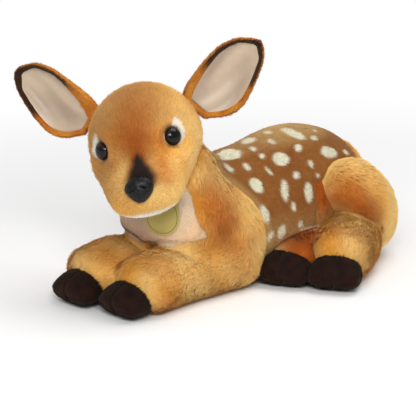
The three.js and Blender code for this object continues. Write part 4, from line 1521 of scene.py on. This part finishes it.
def lidForm(around=72, sides=14):
    # a rim of dark cloth, thicker over the top
    lid, points = eye["lid"], []
    for i in range(around):
        turn = 2 * math.pi * i / around
        thick = lid["thin"] + lid["thicker"] * max(0.0, math.sin(turn)) ** 1.5
        for j in range(sides):
            bend = 2 * math.pi * j / sides
            radius = lid["radius"] + thick * math.cos(bend)
            out = lid["out"] + thick * math.sin(bend) * 1.1
            points.append([radius * math.cos(turn), -out, radius * math.sin(turn)])
    return np.array(points), bandTris(around, sides, closed=True)[:, ::-1]


def eyeMaterial():
    material, tree, shader = newMaterial("eyeGloss", roughness=0.05, specular=0.3)
    ring = makeNode(tree, "ShaderNodeAttribute", attribute_name="ring")
    noise = makeNode(tree, "ShaderNodeTexNoise", {"Scale": 900.0, "Detail": 3.0})
    place = makeNode(tree, "ShaderNodeTexCoord")
    tree.links.new(place.outputs["Object"], noise.inputs["Vector"])
    spread = makeNode(tree, "ShaderNodeMath", {1: 0.12, 2: -0.06}, operation="MULTIPLY_ADD")
    tree.links.new(noise.outputs["Fac"], spread.inputs[0])
    total = makeNode(tree, "ShaderNodeMath", operation="ADD")
    tree.links.new(ring.outputs["Fac"], total.inputs[0])
    tree.links.new(spread.outputs[0], total.inputs[1])
    # a dark pupil, a brown ring and a dark edge
    ramp = makeNode(tree, "ShaderNodeValToRGB")
    stops = ramp.color_ramp.elements
    stops[0].position, stops[0].color = 0.64, (*paint(6, 5, 5), 1)
    stops[1].position, stops[1].color = 0.72, (*paint(38, 22, 14), 1)
    for position, colour in ((0.86, paint(44, 25, 14)), (0.94, paint(10, 8, 8))):
        stop = stops.new(position)
        stop.color = (*colour, 1)
    tree.links.new(total.outputs[0], ramp.inputs["Fac"])
    tree.links.new(ramp.outputs["Color"], shader.inputs["Base Color"])
    return material


finishes["eye_plastic"] = eyeMaterial()
rimMaterial = grainMaterial("eyeRim", paint(24, 17, 15), 900.0, 0.3, 0.3, roughness=0.6)
for side, hand in hands.items():
    form, eyeWorld = eyeForm(), headMatrix @ eyeAt[hand]
    points, tris = moved(form, eyeWorld)
    eyeball = triObject(side + "_eye_ball", points, tris, finishes["eye_plastic"])
    # the brown ring lies a little low and to the outside
    ringValue = np.hypot(form[0][:, 0] - 0.3 * hand, form[0][:, 2] + 1.4) / 9.2
    value = eyeball.data.attributes.new("ring", "FLOAT", "POINT")
    value.data.foreach_set("value", ringValue.astype(np.float32))
    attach(eyeball, "head")
    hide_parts(side + "_eye")
    lid = triObject(side + "_eye_lid", *moved(lidForm(), eyeWorld), rimMaterial)
    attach(lid, "head")


def noseForm():
    points, tris = ballForm(1.0, sides=128)
    x, y, z = points.T
    out = np.where(y < 0, nose["depth"], nose["sunk"])
    taper = 1 + 0.2 * z - 0.16 * z * z
    points = np.stack([x * taper * nose["width"] / 2, y * out, z * nose["height"] / 2], axis=1)
    normals = normalsOf(points, tris)
    x, y, z = points.T
    front = y < 1
    nostril = nose["nostril"]
    for hand in hands.values():
        c = math.cos(math.radians(nostril["tilt"]))
        s = math.sin(math.radians(nostril["tilt"])) * hand
        across, up = x - hand * nostril["aside"], z - nostril["rise"]
        u, v = across * c - up * s, across * s + up * c
        hole = np.exp(-((u / 3.4) ** 2 + (v / 1.1) ** 2)) * front
        points = points - normals * (nostril["depth"] * hole)[:, None]
    cleft = nose["cleft"] * np.exp(-((x / 0.9) ** 2)) * front * (z < 0)
    points = points - normals * cleft[:, None]
    wrinkle = wander(points, 3.4, 5) * 0.13 + wander(points, 9, 6) * 0.18
    return points + normals * (wrinkle * front)[:, None], tris


points, tris = moved(noseForm(), headMatrix @ noseAt)
noseObject = triObject("nose_leather", points, tris, finishes["nose_plastic"])
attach(noseObject, "head")
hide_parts("nose")
for name in ("left_eye_washer", "right_eye_washer", "nose_washer"):
    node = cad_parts[name]
    node.data.materials.clear()
    node.data.materials.append(finishes["washer_plastic"])
print("eyes and nose made")

# Ears; widths, leans and cups are shares at even steps from root to tip
ear = {
    "length": 84,
    "width": 52,
    "cup": 13,
    "root": 4.5,
    "side": 44,
    "back": 13,
    "thick": 2.4,
    "lining": (0.05, 0.94),
    "widths": [0.54, 0.88, 1, 0.97, 0.87, 0.67, 0.42],
    "leans": [0.04, 0.2, 0.24, 0.18, 0.08, 0, 0],
    "cups": [0, 0.45, 0.8, 1, 0.95, 0.75, 0.4],
    "way": {"left": (0.8, 0.09, 0.56), "right": (0.72, 0.2, 0.68)},
    "rise": {"left": 14, "right": 21},
    "fold": {"left": 4.5, "right": 12.0},
    "sweep": {"left": -5.5, "right": 0.0},  # below zero the tip turns down
}
earPile = {
    "length": 2.3,
    "width": 0.45,
    "perMm2": 4.0,
    "lean": 0.68,
    "tuft": 6,
    "sway": 0.4,
}


def alongEar(shares, t):
    points = np.array([[share, 0.5 * i, 0] for i, share in enumerate(shares)], float)
    return np.array([curvePoint(points, value)[0] for value in t])


def earMatrix(side):
    hand = hands[side]
    out, back, rise = ear["way"][side]
    up = Vector((hand * out, back, rise)).normalized()
    behind = Vector((0, 1, 0))
    behind = (behind - up * behind.dot(up)).normalized()
    across = behind.cross(up).normalized()
    matrix = Matrix((across, behind, up)).transposed().to_4x4()
    matrix.translation = (hand * ear["side"], ear["back"], ear["rise"][side])
    return np.array(matrix)


def earRows(count):
    # for each row: its place from root to tip, half width, lean and cup
    t = np.linspace(0, 1, count)
    t = t + 0.5 * t * (1 - t)  # closer rows at the tip
    widths, leans, cups = (alongEar(ear[key], t) for key in ("widths", "leans", "cups"))
    tip = np.sqrt(np.clip(1 - (np.clip(t - 0.8, 0, 1) / 0.2002) ** 2.2, 0.002, 1))
    return t, ear["width"] / 2 * widths * tip, leans, cups


def earInset(side, t):
    # how far the lining stays inside the ear's edge, on the side at -1 and on the side at +1
    tip = 4.0 * softStep(t, 0.84, 0.95)
    crown = 4.8 + ear["fold"][side] * np.clip(1 - t / 0.62, 0, 1) ** 1.3 + tip
    lower = 4.0 + 3.6 * np.clip(1 - t / 0.45, 0, 1) + tip
    return (crown, lower) if side == "left" else (lower, crown)


def earSheet(side, across, rows, depthAt):
    # across: a row of shares from -1 to 1 for each row of the sheet
    t, half, leans, cups = rows
    reach = (across + hands[side] * leans[:, None]) * half[:, None]
    sweep = hands[side] * ear["sweep"][side] * np.clip((t - 0.36) / 0.64, 0, 1) ** 1.6
    depth = ear["cup"] * (1 - across**2) * cups[:, None] + depthAt
    up = np.broadcast_to((ear["root"] / 2 + t * ear["length"])[:, None], across.shape)
    points = np.stack([reach - sweep[:, None], depth, up], axis=2)
    index = np.arange(across.size).reshape(across.shape)
    corners = (index[:-1, :-1], index[:-1, 1:], index[1:, 1:], index[1:, :-1])
    a, b, c, d = (corner.ravel() for corner in corners)
    return points.reshape(-1, 3), np.concatenate([np.c_[a, b, c], np.c_[a, c, d]])


def makeLining(side, world, rows, low, high):
    # the lining faces forward, with soft folds that run up the ear
    hand, t = hands[side], rows[0]
    share = np.linspace(0, 1, 48)
    across = (-1 + low[:, None]) + share * (2 - low - high)[:, None]
    keep = (t > ear["lining"][0]) & (t < ear["lining"][1]) & (low + high < 1.7)
    across, up = across[keep], t[keep][:, None]
    middle = (1 - (2 * share - 1) ** 4) * np.sin(np.pi * np.clip(up * 1.05, 0, 1))
    folds = 1.9 + np.sin(across * 4.6 + 2.2 * up + hand) * 1.3
    folds = folds + np.sin(across * 9.0 - 3.5 * up) * 0.55
    kept = tuple(value[keep] for value in rows)
    front, tris = earSheet(side, across, kept, -1.0 - folds * middle)
    points, tris = shellOf(movePoints(front, world), tris, 0.5)
    lining = triObject(side + "_ear_satin", points, tris, finishes["ear_satin"])
    # painted shade: darker in the valleys of the folds, low by the root and towards the crown side
    valley = np.clip(1.25 - folds / 2.6, 0, 1) * middle + 0.35 * (1 - softStep(up, 0.02, 0.4))
    shade = (0.62 * valley + softStep(-hand * across, -0.4, 1.0) * 0.3).ravel()
    satin = blended(np.tile(colours["satin"], (len(shade), 1)), colours["satinPaintedShade"], shade)
    writeTint(lining.data, np.concatenate([satin, satin]), np.ones(2 * len(shade)))
    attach(lining, side + "_ear")
    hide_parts(side + "_ear_lining")


def makeEarBack(side, world, rows, low, high, columns=64):
    # the pile wraps round the edge from the back and lies on the front up to the lining
    hand = hands[side]
    t, half = (value[:, None] for value in rows[:2])
    across = np.tile(np.linspace(-1, 1, columns), (len(t), 1))
    back, tris = earSheet(side, across, rows, np.full_like(across, ear["thick"]))
    over = np.minimum(across - (-1 + low[:, None]), (1 - high[:, None]) - across) * half
    over = np.minimum(over, (ear["lining"][1] - t) * ear["length"])
    over = np.minimum(over, (t - ear["lining"][0]) * ear["length"])
    fromEdge = (1 - np.abs(across)) * half
    lip = -2.6 + 2.9 * softStep(over, -0.3, 1.2)
    lip = lip + (1.6 - lip) * (1 - softStep(fromEdge, 0, 1.6))
    front, _ = earSheet(side, across * (1 - 0.4 / half), rows, lip)
    n = len(back)
    points = movePoints(np.concatenate([back, front]), world)
    wall = wallOf(rimOf(tris)[:, ::-1], n)
    tris = np.concatenate([tris[:, ::-1], tris + n, wall])
    tint = np.tile(colours["rust"], (len(points), 1))
    tint = blended(tint, colours["gold"], 0.4 + 0.18 * wander(points, 18, 120 + hand))
    # dark along the front's edge, further down on the lower side
    upper, lower = softStep(t, 0.5, 0.62), softStep(t, 0.3, 0.5)
    dark = softStep(fromEdge, 0.7, 1.6) * np.where(across * hand > 0, upper, lower)
    tint[n:] = blended(tint[n:], colours["nearBlack"], 0.95 * dark.ravel())
    length = np.ones(len(points))
    length[n:] = 1 - softStep(over.ravel(), -0.6, 0.4)
    surface = surfaceOf(points, tris, tint, world[:3, :3] @ [0, 0, 1], length)
    skin = triObject(side + "_ear_skin", points, tris, finishes["rust_pile"])
    # painted shade: the skin beneath the pile is darker than the tufts
    writeTint(skin.data, tint * 0.8, np.full(len(points), sewn["along"]))
    pile = dict(earPile, seed=130 + hand)
    hairs = growPile(side + "_ear_pile", surface, pile, finishes["rust_pile"])
    for piece in (skin, hairs):
        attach(piece, side + "_ear")
    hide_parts(side + "_ear_back")


for side in hands:
    world = headMatrix @ earMatrix(side)
    rows = earRows(72)
    low, high = (inset / rows[1] for inset in earInset(side, rows[0]))
    makeLining(side, world, rows, low, high)
    makeEarBack(side, world, rows, low, high)
print("ears made")

# The disc on the bib: sewn flat, with a stitched ring and a bare middle
disc = {
    "radius": 16.5,
    "thickness": 1.4,
    "crown": 0.25,
    "rise": 80,
    "lift": 1.3,
    "ring": 14.2,
    "ringDepth": 0.55,
    "rings": 16,
    "sides": 96,
}
stitch = {"count": 46, "share": 0.72, "thick": 0.46, "sunk": 0.35, "rings": 5, "sides": 6}
discAt = placeAt(bib["side"], -bib["forward"], disc["rise"], yaw=bib["turn"])
discWay = discAt[:3, :3] @ [0, -1, 0]


def onBib(points):
    # each point is carried along the disc's way onto the bib
    places = []
    for point in points:
        place, _, _, _ = torsoTree.ray_cast(Vector(point + discWay * 120), Vector(-discWay), 200)
        places.append(np.array(place) if place else point)
    return np.array(places)


flat = [[0.0, 0.0]]
for ring in range(1, disc["rings"] + 1):
    radius = disc["radius"] * math.sin(math.pi / 2 * ring / disc["rings"])
    for side in range(disc["sides"]):
        turn = 2 * math.pi * side / disc["sides"]
        flat.append([radius * math.cos(turn), radius * math.sin(turn)])
x, z = np.array(flat).T
places = onBib(movePoints(np.stack([x, np.zeros(len(x)), z], axis=1), discAt))
# the disc follows the bib's broad curve and bridges its small bumps
across = places @ discWay
level = np.polyfit(x, across, 2)
upright = np.polyfit(z, across - np.polyval(level, x), 2)


def bibOut(x, z):
    return np.polyval(level, x) + np.polyval(upright, z)


places = places + discWay * (bibOut(x, z) - across)[:, None]
radius = np.hypot(x, z)
crown = disc["lift"] + disc["crown"] * (1 - (radius / disc["radius"]) ** 6)
sunk = disc["ringDepth"] * np.exp(-(((radius - disc["ring"]) / 0.7) ** 2))
top = places + discWay * (crown + disc["thickness"] - sunk)[:, None]
bottom = places + discWay * (crown * 0.4)[:, None]
side, n = np.arange(disc["sides"]), len(top)
fan = np.c_[0 * side, 1 + (side + 1) % disc["sides"], 1 + side]
# wound towards the bib, and turned round as a whole
tris = np.concatenate([fan, 1 + bandTris(disc["rings"], disc["sides"])[:, ::-1]])
tris = np.concatenate([tris, tris[:, ::-1] + n, wallOf(rimOf(tris), n)])[:, ::-1]
discObject = triObject("chest_disc", np.concatenate([top, bottom]), tris, finishes["disc_cloth"])
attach(discObject, "trunk")
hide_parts("chest_tag")


def stitchForm(turn):
    # one stitch, with its middle at the turn round the ring
    points, rings, sides = [], stitch["rings"], stitch["sides"]
    for ring in range(rings):
        sweep = 2 * math.pi / stitch["count"] * stitch["share"]
        angle = turn + sweep * (ring / (rings - 1) - 0.5)
        swell = stitch["thick"] * math.sin(math.pi * (ring + 0.7) / 5.4)
        for side in range(sides):
            bend = 2 * math.pi * side / sides
            reach = disc["ring"] + math.cos(bend) * swell
            out = math.sin(bend) * swell
            points.append([math.cos(angle) * reach, -out, math.sin(angle) * reach])
    m, end = np.arange(1, sides - 1), (rings - 1) * sides
    caps = [np.c_[0 * m, m + 1, m], end + np.c_[0 * m, m, m + 1]]
    return np.array(points), np.concatenate([bandTris(rings, sides)[:, ::-1], *caps])


threadMaterial = grainMaterial("discThread", paint(58, 50, 20), 2000.0, 0.3, 0.4, roughness=0.7)
forms = [stitchForm(2 * math.pi * k / stitch["count"]) for k in range(stitch["count"])]
x, y, z = np.concatenate([points for points, _ in forms]).T
tris = np.concatenate([tris + k * len(points) for k, (points, tris) in enumerate(forms)])
places = movePoints(np.stack([x, np.zeros(len(x)), z], axis=1), discAt)
out = bibOut(x, z) + disc["lift"] + disc["thickness"] - stitch["sunk"] - y
places = places + discWay * (out - places @ discWay)[:, None]
stitches = triObject("chest_disc_stitches", places, tris, threadMaterial)
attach(stitches, "trunk")
print("disc made")

# Stage: a pale floor, soft lights and the camera
stage = {
    "floor": 6,
    "floorColour": (0.93, 0.93, 0.93, 1),
    "below": 0.0005,
    "fade": (0.3, 0.75),
    "white": (1, 1, 1, 1),
    "light": 0.42,
    "backdrop": 1.0,
    "aim": (0, -0.02, 0.08),
}
floorMaterial, floorTree, floorShader = newMaterial("paleFloor", roughness=0.9, specular=0.1)
floorShader.inputs["Base Color"].default_value = stage["floorColour"]
floorMesh = bpy.data.meshes.new("floor")
reach = stage["floor"]
corners = [(-reach, -reach, 0), (reach, -reach, 0), (reach, reach, 0), (-reach, reach, 0)]
floorMesh.from_pydata(corners, [], [(0, 1, 2, 3)])
floor = addObject("floor", floorMesh, floorMaterial)
floor.location.z = -stage["below"]
# away from the shadow the floor runs out into plain white
place = makeNode(floorTree, "ShaderNodeTexCoord")
away = makeNode(floorTree, "ShaderNodeVectorMath", operation="LENGTH")
fadeFrom, fadeTo = stage["fade"]
fade = makeNode(
    floorTree,
    "ShaderNodeMapRange",
    {"From Min": fadeFrom, "From Max": fadeTo},
    interpolation_type="SMOOTHSTEP",
)
plain = makeNode(floorTree, "ShaderNodeEmission", {"Color": stage["white"], "Strength": 1.0})
blend = makeNode(floorTree, "ShaderNodeMixShader")
floorTree.links.new(place.outputs["Object"], away.inputs[0])
floorTree.links.new(away.outputs["Value"], fade.inputs["Value"])
floorTree.links.new(fade.outputs["Result"], blend.inputs["Fac"])
floorTree.links.new(floorShader.outputs["BSDF"], blend.inputs[1])
floorTree.links.new(plain.outputs["Emission"], blend.inputs[2])
floorTree.links.new(blend.outputs["Shader"], floorTree.nodes["Material Output"].inputs["Surface"])

world = bpy.data.worlds.new("studio")
scene.world = world
world.use_nodes = True
nodes, links = world.node_tree.nodes, world.node_tree.links
background = nodes["Background"]
background.inputs["Color"].default_value = stage["white"]
background.inputs["Strength"].default_value = stage["light"]
backdrop = {"Color": stage["white"], "Strength": stage["backdrop"]}
bright = makeNode(world.node_tree, "ShaderNodeBackground", backdrop)
path = nodes.new("ShaderNodeLightPath")
mix = nodes.new("ShaderNodeMixShader")
links.new(path.outputs["Is Camera Ray"], mix.inputs["Fac"])
links.new(background.outputs["Background"], mix.inputs[1])
links.new(bright.outputs["Background"], mix.inputs[2])
links.new(mix.outputs["Shader"], nodes["World Output"].inputs["Surface"])

lamps = {
    "key": {"at": (0.95, -1.0, 0.95), "size": 0.5, "watts": 11},
    "fill": {"at": (-1.3, -0.7, 0.9), "size": 1.3, "watts": 1.5},
    "top": {"at": (0.35, 0.45, 1.7), "size": 1.3, "watts": 15},
    "spark": {"at": (0.62, -1.5, 1.1), "size": 0.32, "watts": 4},
}
for name, lamp in lamps.items():
    light = bpy.data.lights.new(name, "AREA")
    light.size = lamp["size"]
    light.energy = lamp["watts"]
    obj = bpy.data.objects.new(name, light)
    scene.collection.objects.link(obj)
    obj.location = lamp["at"]
    obj.rotation_euler = (Vector(stage["aim"]) - obj.location).to_track_quat("-Z", "Y").to_euler()

view = {
    "right": (0.7314, 0.6820, 0.0),
    "way": (-0.6556, 0.7030, -0.2756),
    "away": 2.0,
    "shift": (-0.04952, 0.05143),
    "sensor": 36,
    "focal": 2100 / 416,  # in widths of the picture
}
camera = bpy.data.cameras.new("camera")
cameraObject = bpy.data.objects.new("camera", camera)
scene.collection.objects.link(cameraObject)
scene.camera = cameraObject
viewWay = Vector(view["way"]).normalized()
viewUp = Vector(view["right"]).normalized().cross(viewWay).normalized()
viewRight = viewWay.cross(viewUp).normalized()
camera.sensor_width = view["sensor"]
camera.lens = view["sensor"] * view["focal"]
turn = Matrix((viewRight, viewUp, -viewWay)).transposed().to_4x4()
shiftRight, shiftUp = view["shift"]
cameraPlace = -viewWay * view["away"] + viewRight * shiftRight + viewUp * shiftUp
cameraObject.matrix_world = Matrix.Translation(cameraPlace) @ turn
camera.clip_start, camera.clip_end = 0.1, 30
scene.view_settings.view_transform = "Standard"
print("stage ready")
